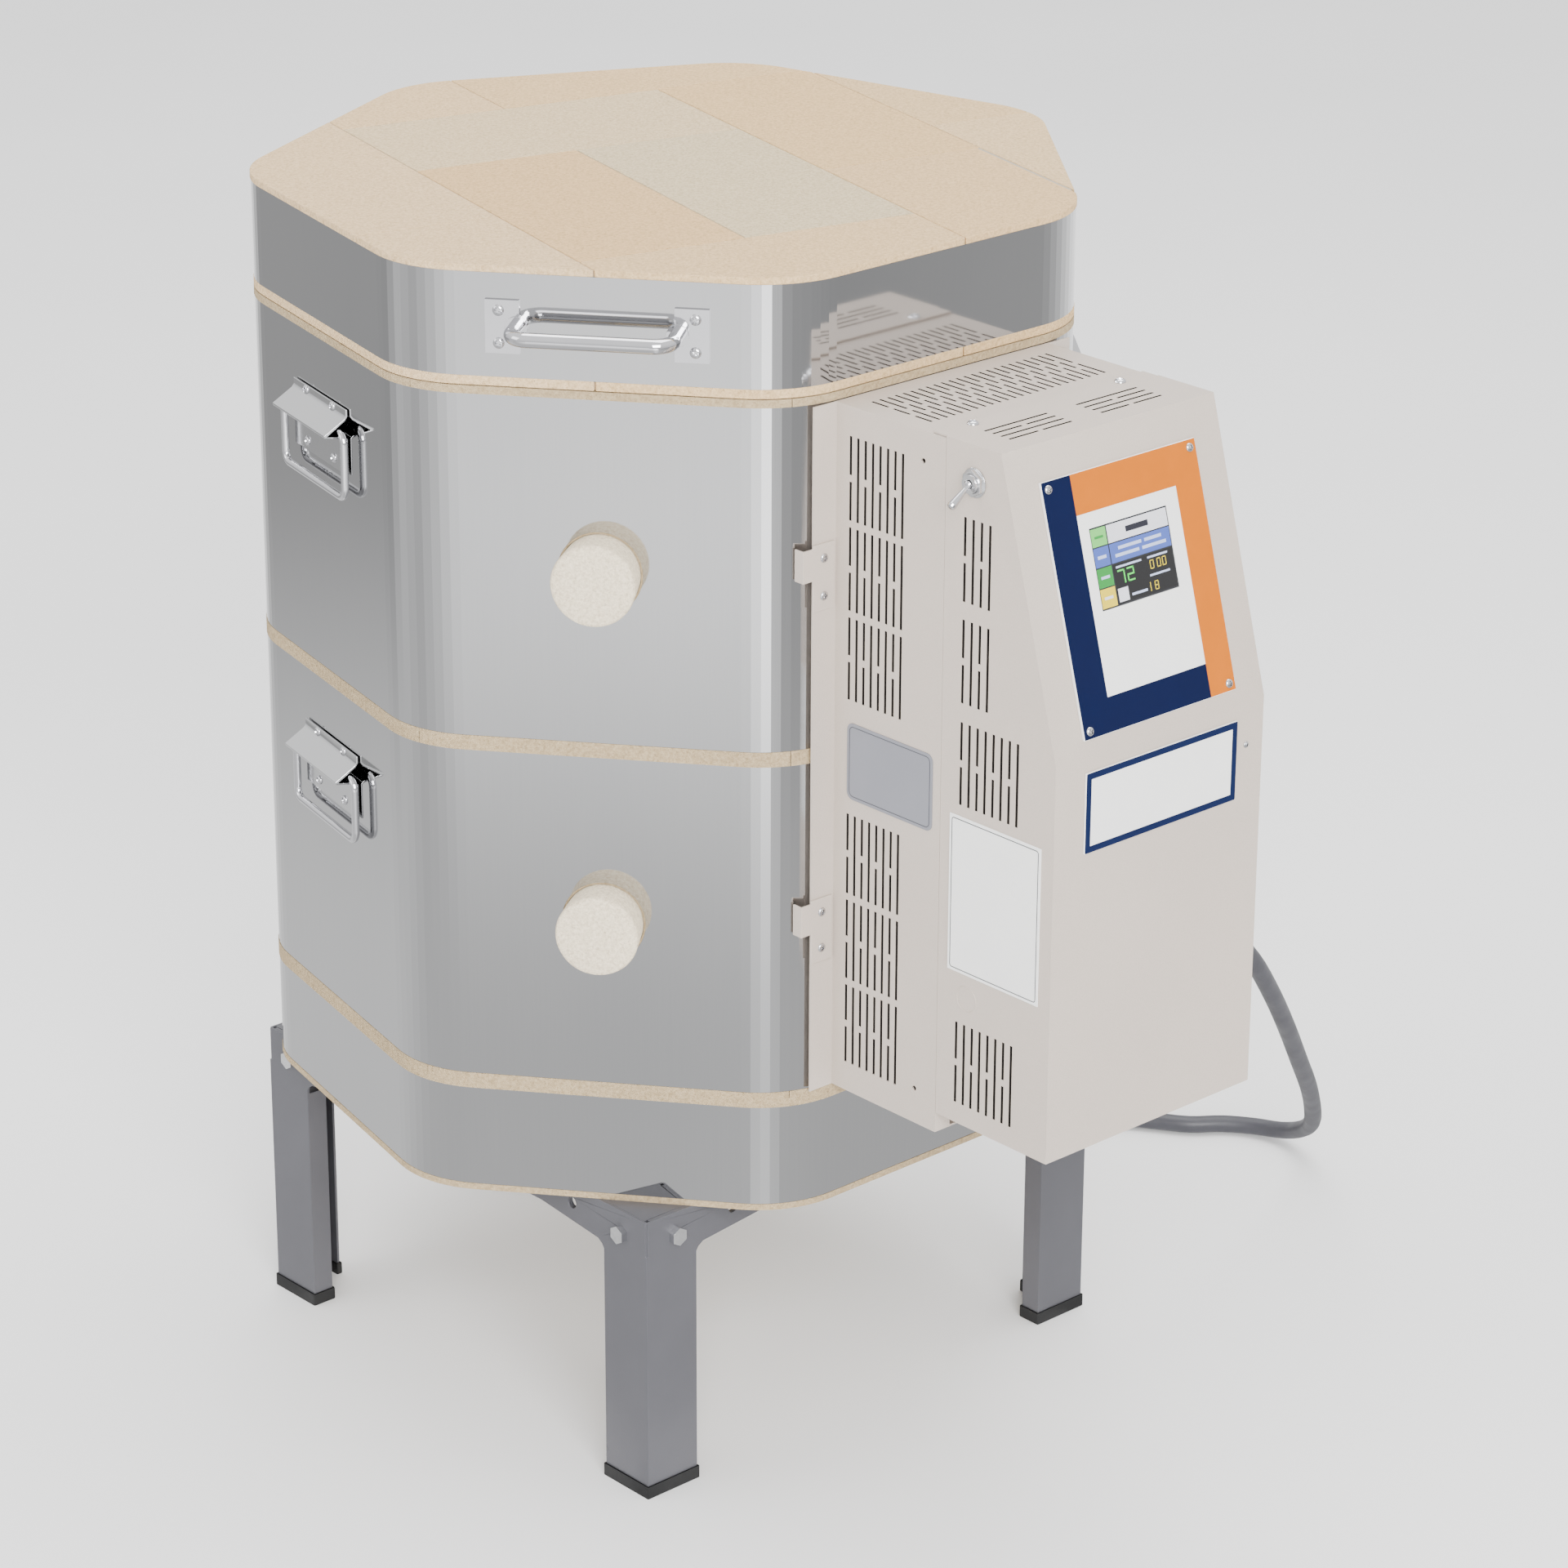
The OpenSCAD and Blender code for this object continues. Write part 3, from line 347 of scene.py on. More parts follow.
def add_box(bm, mtx, lo, hi, mi=0):
    vs = [bm.verts.new(mtx @ Vector((x, y, z))) for x in (lo[0], hi[0]) for y in (lo[1], hi[1]) for z in (lo[2], hi[2])]
    fs = [(0, 1, 3, 2), (4, 6, 7, 5), (0, 4, 5, 1), (2, 3, 7, 6), (0, 2, 6, 4), (1, 5, 7, 3)]
    out = []
    for f in fs:
        q = bm.faces.new([vs[i] for i in f])
        q.material_index = mi
        out.append(q)
    return out


def lathe(bm, mtx, prof, n=32, mi=0, cap=True):
    "prof: list of (radius, height) turned about local z"
    rings = []
    for (rr, z) in prof:
        if rr < 1e-7:
            rings.append([bm.verts.new(mtx @ Vector((0, 0, z)))])
        else:
            rings.append([bm.verts.new(mtx @ Vector((rr * math.cos(2 * math.pi * k / n), rr * math.sin(2 * math.pi * k / n), z))) for k in range(n)])
    for a, b in zip(rings, rings[1:]):
        for k in range(n):
            k2 = (k + 1) % n
            if len(a) == 1 and len(b) == 1:
                continue
            if len(a) == 1:
                f = bm.faces.new((a[0], b[k], b[k2]))
            elif len(b) == 1:
                f = bm.faces.new((a[k], a[k2], b[0]))
            else:
                f = bm.faces.new((a[k], a[k2], b[k2], b[k]))
            f.material_index = mi
    if cap:
        for q in (rings[0], rings[-1]):
            if len(q) > 2:
                f = bm.faces.new(q)
                f.material_index = mi


def prism(bm, mtx, pts, z0, z1, mi=0):
    a = [bm.verts.new(mtx @ Vector((p[0], p[1], z0))) for p in pts]
    b = [bm.verts.new(mtx @ Vector((p[0], p[1], z1))) for p in pts]
    n = len(pts)
    for f in (a[::-1], b):
        q = bm.faces.new(f)
        q.material_index = mi
    for k in range(n):
        q = bm.faces.new((a[k], a[(k + 1) % n], b[(k + 1) % n], b[k]))
        q.material_index = mi


def rrect(x0, y0, x1, y1, r, n=5):
    out = []
    for cx, cy, a0 in ((x1 - r, y1 - r, 0), (x0 + r, y1 - r, 90), (x0 + r, y0 + r, 180), (x1 - r, y0 + r, 270)):
        for k in range(n + 1):
            t = math.radians(a0 + 90 * k / n)
            out.append((cx + r * math.cos(t), cy + r * math.sin(t)))
    return out


def tube(bm, pts, rad, n=8, mi=0, closed=False, caps=True):
    P = [Vector(p) for p in pts]
    L = len(P)
    up = Vector((0, 0, 1))
    prev = None
    rings = []
    for i in range(L):
        a = P[(i - 1) % L] if closed else P[max(i - 1, 0)]
        b = P[(i + 1) % L] if closed else P[min(i + 1, L - 1)]
        t = (b - a).normalized()
        if prev is None:
            ref = up if abs(t.z) < 0.9 else Vector((1, 0, 0))
            s = t.cross(ref).normalized()
        else:
            s = (prev - t * prev.dot(t)).normalized()
        prev = s
        w = t.cross(s)
        rr = rad[i] if isinstance(rad, (list, tuple)) else rad
        rings.append([bm.verts.new(P[i] + (s * math.cos(2 * math.pi * k / n) + w * math.sin(2 * math.pi * k / n)) * rr) for k in range(n)])
    for i in range(L if closed else L - 1):
        a, b = rings[i], rings[(i + 1) % L]
        for k in range(n):
            f = bm.faces.new((a[k], a[(k + 1) % n], b[(k + 1) % n], b[k]))
            f.material_index = mi
    if not closed and caps:
        for q in (rings[0][::-1], rings[-1]):
            f = bm.faces.new(q)
            f.material_index = mi


def out_of(mtx, t, o, z):
    "matrix whose +z points outward from a face, at (t, o, z) in metres"
    return mtx @ Matrix.Translation((t, -o, z)) @ Matrix.Rotation(math.pi / 2, 4, "X")


def cross_screw(bm, mtx, R, H, mi=0, turn=0.3):
    "domed head with a cross recess; +z outward, base at z = 0"
    n = 24
    arm_w, arm_l, dep = R * 0.17, R * 0.62, H * 0.62
    tmp = bmesh.new()
    prof = [(R * 0.96, 0), (R, H * 0.12), (R * 0.95, H * 0.42), (R * 0.80, H * 0.72), (R * 0.58, H * 0.91), (R * 0.32, H * 0.985), (0, H)]
    lathe(tmp, Matrix.Identity(4), prof, n)
    me = bpy.data.meshes.new("s")
    bmesh.ops.recalc_face_normals(tmp, faces=tmp.faces)
    tmp.to_mesh(me)
    tmp.free()
    o = bpy.data.objects.new("s", me)
    bpy.context.scene.collection.objects.link(o)
    c = bmesh.new()
    l, w = arm_l, arm_w
    pts = [(l, -w), (l, w), (w, w), (w, l), (-w, l), (-w, w), (-l, w), (-l, -w), (-w, -w), (-w, -l), (w, -l), (w, -w)]
    top = [c.verts.new((p[0], p[1], H * 1.3)) for p in pts]
    bot = [c.verts.new((p[0] * 0.72, p[1] * 0.72, H - dep)) for p in pts]
    c.faces.new(top)
    c.faces.new(bot[::-1])
    for k in range(12):
        c.faces.new((top[k], bot[k], bot[(k + 1) % 12], top[(k + 1) % 12]))
    bmesh.ops.recalc_face_normals(c, faces=c.faces)
    me2 = bpy.data.meshes.new("c")
    c.to_mesh(me2)
    c.free()
    o2 = bpy.data.objects.new("c", me2)
    bpy.context.scene.collection.objects.link(o2)
    md = o.modifiers.new("b", "BOOLEAN")
    md.operation = "DIFFERENCE"
    md.object = o2
    md.solver = "EXACT"
    dg = bpy.context.evaluated_depsgraph_get()
    ev = o.evaluated_get(dg)
    res = bpy.data.meshes.new_from_object(ev)
    bpy.data.objects.remove(o)
    bpy.data.objects.remove(o2)
    return res


_proto = {}


def screw(bm, mtx, R, H, mi=0, turn=None):
    key = (round(R, 6), round(H, 6))
    if key not in _proto:
        _proto[key] = cross_screw(None, None, R, H)
    t = random.uniform(0, 1.5) if turn is None else turn
    t0 = len(bm.verts)
    f0 = len(bm.faces)
    bm.from_mesh(_proto[key])
    bm.verts.ensure_lookup_table()
    bm.faces.ensure_lookup_table()
    mm = mtx @ Matrix.Rotation(t, 4, "Z")
    for q in bm.verts[t0:]:
        q.co = mm @ q.co
    for f in bm.faces[f0:]:
        f.material_index = mi


# ------------------------------------------------------------------ mains cord
GO, GZ = 78.0, 357.5
nR = Vector((math.cos(RIGHT), math.sin(RIGHT), 0))
tR = Vector((-math.sin(RIGHT), math.cos(RIGHT), 0))
gp = nR * (254 + GO) + tR * (93 + 35) + Vector((0, 0, GZ))
via = [(380, -49, 334), (398, -10, 298), (411, 38, 250), (420, 88, 202), (427, 138, 155), (432.5, 187, 112), (434.5, 230, 74.5), (433, 265, 45), (424.5, 296, 23.5), (409, 317, 11), (387.5, 327.5, 7.5), (363, 329, 7), (338, 323.5, 7), (313, 325, 7), (280, 327, 7), (240, 327, 7), (200, 327, 7), (150, 326, 7), (100, 325, 7), (50, 325, 7), (0, 325, 7), (-50, 323, 7), (-95, 318, 7), (-130, 313, 7)]
cpts = [gp, gp + tR * 13, gp + tR * 27 + Vector((0, 0, -2))] + [Vector(p) for p in via]
CX, CY, CM = -155.0, 240.0, 72.0
a0, a1 = math.radians(90), math.radians(90 + 560)
NT = 28
for i in range(NT + 1):
    f = i / NT
    a = a0 + (a1 - a0) * f
    turns = (a - a0) / (2 * math.pi)
    z = 7 + 13.2 * min(1.0, turns)
    cpts.append(Vector((CX + CM * math.cos(a), CY + CM * math.sin(a), z)))
pa = math.radians(20)
pd = Vector((math.cos(pa), math.sin(pa), 0))
pt0 = Vector((CX + CM * math.cos(pa - math.pi / 2), CY + CM * math.sin(pa - math.pi / 2), 0))
for d, z in ((14, 19), (28, 16.9), (44, 16.5)):
    cpts.append(pt0 + pd * d + Vector((0, 0, z)))


def catmull(P, sub=4):
    out = []
    for i in range(len(P) - 1):
        p0, p1, p2, p3 = P[max(i - 1, 0)], P[i], P[i + 1], P[min(i + 2, len(P) - 1)]
        for k in range(sub):
            t = k / sub
            out.append(0.5 * ((2 * p1) + (p2 - p0) * t + (2 * p0 - 5 * p1 + 4 * p2 - p3) * t * t + (3 * p1 - p0 - 3 * p2 + p3) * t ** 3))
    out.append(P[-1])
    return out


line = [K(*p) for p in catmull(cpts, 4)]
bm = bmesh.new()
tube(bm, line, 0.0065, 14)
cord_o = obj_from_bm("mains_cord", bm, MAT["cord"], "kiln_body", 60, ("power_cord", "cord_coil"))

# plug: moulded body with grip ribs, strain relief and three blades
PM = Matrix.Translation(K(pt0.x, pt0.y, 16.5)) @ Matrix.Rotation(pa, 4, "Z") @ Matrix.Translation((0.028, 0, 0))
PZ = PM @ Matrix.Rotation(math.pi / 2, 4, "Y")
bm = bmesh.new()
prof = [(0.0070, 0.0)]
for k in range(6):
    z = 0.003 + k * 0.0045
    q = 0.0078 + k * 0.00055
    prof += [(q, z), (q + 0.0004, z + 0.0010), (q + 0.0004, z + 0.0022), (q - 0.0006, z + 0.0026), (q - 0.0006, z + 0.0036)]
prof += [(0.0112, 0.0305), (0.0112, 0.031)]
lathe(bm, PZ, prof, 28)
for (x0, x1, yy, z0, z1, rr) in ((0.030, 0.064, 0.0165, -0.0135, 0.0135, 0.005), (0.064, 0.0738, 0.0205, -0.0158, 0.0155, 0.004)):
    prism(bm, PZ @ Matrix.Rotation(math.pi / 2, 4, "Z"), rrect(-yy, z0, yy, z1, rr), x0, x1)
for k in range(5):
    x = 0.036 + k * 0.005
    prism(bm, PZ @ Matrix.Rotation(math.pi / 2, 4, "Z"), rrect(-0.017, -0.0138, 0.017, 0.0138, 0.0052), x, x + 0.0022)
plug_o = obj_from_bm("cord_plug_moulding", bm, MAT["black"], "kiln_body", 40, ("cord_plug",))
bevel(plug_o, 0.0006, 2, 50)

# gland: lock nut, ribbed strain relief
GM = face(RIGHT) @ Matrix.Translation((0.093, -0.078, 0.3575)) @ Matrix.Rotation(math.pi / 2, 4, "Y")
bm = bmesh.new()
prof = [(0.0098, -0.008), (0.0098, 0.0), (0.0138, 0.0), (0.0140, 0.0008), (0.0140, 0.0075), (0.0132, 0.0088), (0.0112, 0.009)]
for k in range(6):
    z = 0.0098 + k * 0.0038
    q = 0.0108 - k * 0.00055
    prof += [(q, z), (q, z + 0.0018), (q - 0.0010, z + 0.0022), (q - 0.0010, z + 0.0036)]
prof += [(0.0080, 0.0335), (0.0077, 0.0349), (0.0066, 0.035)]
lathe(bm, GM, prof, 36)
for k in range(12):
    a = 2 * math.pi * k / 12
    lathe(bm, GM @ Matrix.Rotation(a, 4, "Z") @ Matrix.Translation((0.0132, 0, 0.0008)), [(0.0009, 0), (0.0009, 0.0070)], 8)
pts = [(0.0138 * math.cos(math.pi / 3 * k), 0.0138 * math.sin(math.pi / 3 * k)) for k in range(6)]
prism(bm, GM, pts, -0.008, -0.0014)
gland_o = obj_from_bm("gland_detail", bm, MAT["black"], "kiln_body", 40, ("cord_gland",))


# ------------------------------------------------------------------ CAD nodes: finish by node
def assign(node, mat, smooth=30, bev=None, seg=2):
    o = NODES[node]
    o.data.materials.clear()
    o.data.materials.append(mat)
    if smooth:
        for p in o.data.polygons:
            p.use_smooth = True
        try:
            o.data.set_sharp_from_angle(angle=math.radians(smooth))
        except Exception:
            pass
    if bev:
        w = o.modifiers.new("weld", "WELD")
        w.merge_threshold = 0.00001
        bevel(o, bev, seg, 40)
    return o


finish_map = {
    "brick": ["floor_slab", "lower_ring_bricks", "upper_ring_bricks"],
    "jacket": ["floor_band", "lower_ring_jacket", "upper_ring_jacket", "lid_band"],
    "coat": ["control_box", "element_cover", "cover_brackets"],
    "leg": ["leg_front", "leg_left", "leg_right", "leg_rear", "stand_rails"],
    "bracket_steel": ["lower_lift_brackets", "upper_lift_brackets", "base_hinge_leaf", "lid_hinge_leaf"],
    "chrome": ["lid_handle_bar", "lid_handle_plates", "bail_upper_left", "bail_upper_right", "bail_lower_left", "bail_lower_right", "toggle_lever", "hinge_pin"],
    "zinc": ["stand_bolts", "box_hinge_rod", "toggle_nut", "toggle_body"],
    "inner": ["box_baffle"],
    "cap": ["foot_caps"],
    "holder": ["element_holders"],
    "porcelain": ["terminal_insulators", "thermocouple", "terminal_block"],
    "wire": ["element_tails"],
    "black": ["power_relays"],
    "lam": ["transformer"],
    "pcb": ["control_board"],
    "brass": ["plug_blades"],
    "label_grey": ["cover_label"],
    "label_white": ["panel_plate", "name_plate", "side_plate"],
    "screen_glass": ["touch_screen"],
}
for k, names in finish_map.items():
    for n in names:
        assign(n, MAT[k])
for n, w in {"control_box": 0.0003, "cover_brackets": 0.0004, "foot_caps": 0.0009, "lid_handle_plates": 0.0005,
             "leg_front": 0.0004, "leg_left": 0.0004, "leg_right": 0.0004, "leg_rear": 0.0004, "stand_rails": 0.0004, "stand_bolts": 0.0006,
             "lower_lift_brackets": 0.0003, "upper_lift_brackets": 0.0003, "base_hinge_leaf": 0.0004, "lid_hinge_leaf": 0.0004, "toggle_nut": 0.0005,
             "panel_plate": 0.0004, "name_plate": 0.0003, "side_plate": 0.0002, "power_relays": 0.0008, "transformer": 0.0006, "terminal_block": 0.0006, "hinge_pin": 0.0007}.items():
    assign(n, NODES[n].data.materials[0], 30, w)

# ------------------------------------------------------------------ lid: real bricks laid as in a cut slab
def hept(a, rad, n=12):
    out = []
    for i in range(7):
        va = FRONT + HA + i * STEP
        cx, cy = (a - rad) / math.cos(HA) * math.cos(va), (a - rad) / math.cos(HA) * math.sin(va)
        for k in range(n + 1):
            t = va - HA + k * STEP / n
            out.append((cx + rad * math.cos(t), cy + rad * math.sin(t)))
    return out


def clip(poly, nx, ny, d):
    "keeps the part where x*nx + y*ny <= d"
    out = []
    for i in range(len(poly)):
        p, q = poly[i], poly[(i + 1) % len(poly)]
        dp, dq = p[0] * nx + p[1] * ny - d, q[0] * nx + q[1] * ny - d
        if dp <= 0:
            out.append(p)
        if (dp < 0 < dq) or (dq < 0 < dp):
            t = dp / (dp - dq)
            out.append((p[0] + (q[0] - p[0]) * t, p[1] + (q[1] - p[1]) * t))
    return out


PEACH, PALE, CREAM = (233, 213, 180), (222, 216, 195), (230, 214, 186)
U, V = (math.cos(math.radians(-52.5)), math.sin(math.radians(-52.5))), (-math.sin(math.radians(-52.5)), math.cos(math.radians(-52.5)))
INF = 0.4
lid_bricks = [  # u0, u1, v0, v1 in metres, tone
    (-0.059, 0.179, -0.156, -0.041, (228, 204, 166)), (-0.059, 0.179, -0.041, 0.080, (218, 214, 194)),
    (-0.179, -0.059, -0.156, 0.080, (225, 216, 192)), (-0.179, 0.058, 0.080, 0.198, (230, 208, 170)),
    (0.058, 0.290, 0.080, 0.196, (230, 209, 174)), (-INF, -0.179, -0.156, -0.036, (233, 215, 184)),
    (-INF, -0.179, -0.036, 0.198, (231, 211, 176)), (-INF, 0.064, -INF, -0.156, (232, 216, 188)),
    (0.064, INF, -INF, -0.156, (232, 216, 188)), (0.179, INF, -0.156, 0.080, (230, 211, 178)),
    (-INF, -0.008, 0.198, INF, (229, 211, 178)), (-0.008, INF, 0.198, INF, (232, 216, 186))]
outline = {"body": hept(A - 0.0007, 0.0693), "lip": hept(A + 0.0003, 0.0703)}
zb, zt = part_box("lid_slab")[0][2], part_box("lid_slab")[1][2]
bm = bmesh.new()
col = bm.loops.layers.float_color.new("tint")
g = 0.00045


def slab_piece(poly, z0, z1, tone):
    if len(poly) < 3:
        return
    a = [bm.verts.new((AX + p[0], AY + p[1], z0)) for p in poly]
    b = [bm.verts.new((AX + p[0], AY + p[1], z1)) for p in poly]
    n = len(poly)
    fs = [bm.faces.new(a[::-1]), bm.faces.new(b)]
    for k in range(n):
        fs.append(bm.faces.new((a[k], a[(k + 1) % n], b[(k + 1) % n], b[k])))
    c = tuple(a * b for a, b in zip(srgb(*tone), (0.93, 0.80, 0.64)))
    for f in fs:
        for l in f.loops:
            l[col] = (*c, 1)


def dedupe(poly):
    out = []
    for p in poly:
        if not out or math.hypot(p[0] - out[-1][0], p[1] - out[-1][1]) > 1e-5:
            out.append(p)
    if len(out) > 2 and math.hypot(out[0][0] - out[-1][0], out[0][1] - out[-1][1]) < 1e-5:
        out.pop()
    return out


for (u0, u1, v0, v1, tone) in lid_bricks:
    for key, z0, z1 in (("lip", zb, zb + 0.006), ("body", zb + 0.006, zt - 0.0045), ("lip", zt - 0.0045, zt)):
        p = outline[key]
        p = clip(p, U[0], U[1], u1 - g)
        p = clip(p, -U[0], -U[1], -(u0 + g)) if p else p
        p = clip(p, V[0], V[1], v1 - g) if p else p
        p = clip(p, -V[0], -V[1], -(v0 + g)) if p else p
        slab_piece(dedupe(p), z0, z1, tone)
lid_o = obj_from_bm("lid_brick_slab", bm, MAT["brick_tint"], "lid", 25, ("lid_slab",))
bevel(lid_o, 0.0012, 2, 50)
# mortar in the joints, a hair below the surface
bm = bmesh.new()
for key, z0, z1 in (("body", zb + 0.0006, zt - 0.0007),):
    prism(bm, Matrix.Translation((AX, AY, 0)), hept(A - 0.0015, 0.0685), z0, z1)
obj_from_bm("lid_mortar", bm, MAT["joint"], "lid", 25)

# ------------------------------------------------------------------ screws with cross recesses
def z_of(node, i=0):
    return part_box(node)[i][2]


zr1, zr2, zf1 = 0.518, 0.7535, 0.2825
bzu, bzl = 0.6984, 0.4629
bm = bmesh.new()
bxc = 0.0015
for z in (bzl, bzu):
    for a in (LEFT, FARR):
        for t in (-0.020, 0.020):
            for q in (0.011, -0.0233):
                screw(bm, out_of(face(a), t, 0.002, z + q), 0.0032, 0.0017)
for s in (1, -1):
    fm = face(BACKR) if s > 0 else face(BACKL)
    for t in (0.048, 0.070):
        for z in (zr2 - 0.042, zr2 - 0.018):
            screw(bm, out_of(fm, s * t, 0.0026, z), 0.004, 0.002)
for s in (1, -1):
    t = bxc + s * (-0.0915 - 0.011)
    for z in (zr1 + 0.141, zf1 + 0.1383):
        for q in (-0.0096, -0.0344):
            screw(bm, out_of(face(RIGHT), t, 0.0034, z + q), 0.0031, 0.0014)
obj_from_bm("body_screw_heads", bm, MAT["chrome"], "kiln_body", 35, ("body_screws",))
bm = bmesh.new()
hz = 0.7925
for s in (-1, 1):
    for q in (-0.0104, 0.0104):
        screw(bm, out_of(face(FRONT), s * 0.061, 0.0019, hz + q), 0.0036, 0.0016)
zl0 = 0.754
for s in (1, -1):
    fm = face(BACKR) if s > 0 else face(BACKL)
    for t in (0.048, 0.070):
        for z in (zl0 + 0.024, zl0 + 0.048):
            screw(bm, out_of(fm, s * t, 0.0026, z), 0.004, 0.002)
obj_from_bm("lid_screw_heads", bm, MAT["chrome"], "lid", 35, ("lid_screws",))
bm = bmesh.new()
SM = slant()
for t in (-0.061, 0.061):
    for s in (0.0283, 0.1768):
        screw(bm, SM @ Matrix.Translation((bxc + t, -s, 0.0021)), 0.003, 0.0015)
for t in (-0.0635, 0.0635):
    m = face(RIGHT) @ Matrix.Translation((bxc + t, -0.0923, BZ1))
    screw(bm, m, 0.0038, 0.0021)
    lathe(bm, m, [(0.0019, -0.009), (0.0019, 0.0002)], 16)
screw(bm, out_of(face(RIGHT), 0.078, BO, 0.5357), 0.0022, 0.0012)
obj_from_bm("box_screw_heads", bm, MAT["chrome"], "control_unit", 35, ("panel_screws", "box_screws"))

# ------------------------------------------------------------------ peephole plugs, turned ceramic with a soft edge
for body, node, z in (("plug_u", "peep_plug_upper", zr1 + 0.11775), ("plug_l", "peep_plug_lower", zf1 + 0.11775)):
    bm = bmesh.new()
    R = lambda o: 0.027 - (0.025 - o) * 5 / 93
    prof = [(0, -0.068), (R(-0.068) - 0.002, -0.068), (R(-0.066), -0.066), (R(0), 0), (R(0.0225), 0.0225), (R(0.0243) - 0.0008, 0.0243), (R(0.025) - 0.0026, 0.025), (0.016, 0.0251 - 0.0001), (0, 0.025)]
    m = out_of(face(FRONT), 0, 0, z)
    lathe(bm, m, prof, 72)
    obj_from_bm(node + "_turned", bm, MAT["plug"], body, 50, (node,))

# ------------------------------------------------------------------ heating elements as real coils of wire in the holders
bm = bmesh.new()
ca = 0.1898 + 0.011 - 0.0066
path_pts = hept(ca, 0.012, 8)
seg = []
for i in range(len(path_pts)):
    p, q = path_pts[i], path_pts[(i + 1) % len(path_pts)]
    seg.append((p, q, math.hypot(q[0] - p[0], q[1] - p[1])))
total = sum(s[2] for s in seg)


def along(d):
    d = d % total
    for p, q, l in seg:
        if d <= l and l > 1e-9:
            f = d / l
            return Vector((p[0] + (q[0] - p[0]) * f, p[1] + (q[1] - p[1]) * f, 0)), Vector((q[0] - p[0], q[1] - p[1], 0)).normalized()
        d -= l
    p, q, l = seg[-1]
    return Vector((q[0], q[1], 0)), Vector((q[0] - p[0], q[1] - p[1], 0)).normalized()


pitch, per = 0.0052, 7
turns = int(total / pitch)
base_pts = []
for i in range(turns * per):
    d = i / per * (total / turns)
    c, t = along(d)
    out = Vector((t.y, -t.x, 0))
    a = 2 * math.pi * i / per
    base_pts.append(c + (out * math.cos(a) + Vector((0, 0, 1)) * math.sin(a)) * 0.0033)
for z0 in (zf1, zr1):
    for zz in (0.038, 0.076, 0.2355 - 0.076, 0.2355 - 0.038):
        tube(bm, [p + Vector((AX, AY, z0 + zz)) for p in base_pts], 0.0012, 4, closed=True)
obj_from_bm("element_coils", bm, MAT["wire"], "kiln_body", 80, ("heating_elements",))

# ------------------------------------------------------------------ panel art: plain bands, display tiles, plain digits
PX0, PX1, PS0, PS1 = bxc - 0.0665, bxc + 0.0665, 0.023, 0.1818
MAT["navy"] = simple("band_navy", (0.001, 0.005, 0.034), 0.5, vary=0.03, scale=60, bstr=0.03, spec=0.12)
MAT["orange"] = simple("band_orange", (0.50, 0.125, 0.0), 0.6, vary=0.03, scale=60, bstr=0.03, spec=0.12)
bm = bmesh.new()
Z0, Z1 = 0.00212, 0.00222


def flat(poly, mi, z0=Z0, z1=Z1):
    prism(bm, SM, [(p[0], -p[1]) for p in poly][::-1], z0, z1, mi)


e = 0.0004
flat([(PX0 + e, PS0 + e), (PX0 + 0.0245, PS0 + e), (PX0 + 0.0245, PS1 - e), (PX0 + e, PS1 - e)], 0)
flat([(PX0 + 0.0245, PS1 - 0.0215), (PX1 - 0.0225, PS1 - 0.0215), (PX1 - 0.0225, PS1 - e), (PX0 + 0.0245, PS1 - e)], 0)
flat([(PX1 - 0.0225, PS0 + e), (PX1 - e, PS0 + e), (PX1 - e, PS1 - e), (PX1 - 0.0225, PS1 - e)], 1)
flat([(PX0 + 0.0245, PS0 + e), (PX1 - 0.0225, PS0 + e), (PX1 - 0.0225, PS0 + 0.0255), (PX0 + 0.0245, PS0 + 0.0255)], 1)
obj_from_bm("panel_bands", bm, [MAT["navy"], MAT["orange"]], "control_unit", 20)

SX0, SX1, SS0, SS1 = bxc - 0.0333, bxc + 0.0333, 0.0586, 0.109
tiles = ["lgreen", "white", "blue", "green", "yellow", "dark", "digit", "amber", "text", "ink"]
bm = bmesh.new()
TZ = 0.0015


def tile(x0, s0, x1, s1, key, lift=0.0):
    "x and s as fractions of the screen"
    X = lambda f: SX0 + (SX1 - SX0) * f
    S = lambda f: SS0 + (SS1 - SS0) * f
    flat([(X(x0), S(s0)), (X(x1), S(s0)), (X(x1), S(s1)), (X(x0), S(s1))], tiles.index(key), TZ + lift, TZ + lift + 0.00008)


tile(0.01, 0.015, 0.20, 0.235, "lgreen")
tile(0.215, 0.015, 0.99, 0.235, "white")
tile(0.01, 0.25, 0.20, 0.485, "blue")
tile(0.215, 0.25, 0.99, 0.485, "blue")
tile(0.01, 0.50, 0.20, 0.735, "green")
tile(0.01, 0.75, 0.20, 0.985, "yellow")
tile(0.215, 0.50, 0.99, 0.985, "dark")
tile(0.23, 0.80, 0.36, 0.965, "white", 0.00008)
for (x0, s0, x1, s1, k) in ((0.45, 0.09, 0.74, 0.16, "ink"), (0.32, 0.30, 0.62, 0.34, "text"), (0.66, 0.30, 0.88, 0.34, "text"), (0.27, 0.385, 0.58, 0.425, "text"), (0.62, 0.385, 0.93, 0.425, "text"),
                            (0.05, 0.35, 0.16, 0.39, "text"), (0.05, 0.11, 0.16, 0.14, "green"), (0.05, 0.60, 0.16, 0.635, "text"), (0.05, 0.85, 0.16, 0.885, "white"),
                            (0.25, 0.53, 0.58, 0.555, "text"), (0.66, 0.53, 0.92, 0.555, "text"), (0.66, 0.75, 0.92, 0.775, "text"), (0.40, 0.90, 0.60, 0.93, "text")):
    tile(x0, s0, x1, s1, k, 0.00008)
SEG = {"0": "abcdef", "1": "bc", "2": "abged", "3": "abgcd", "6": "afgedc", "7": "abc", "8": "abcdefg"}


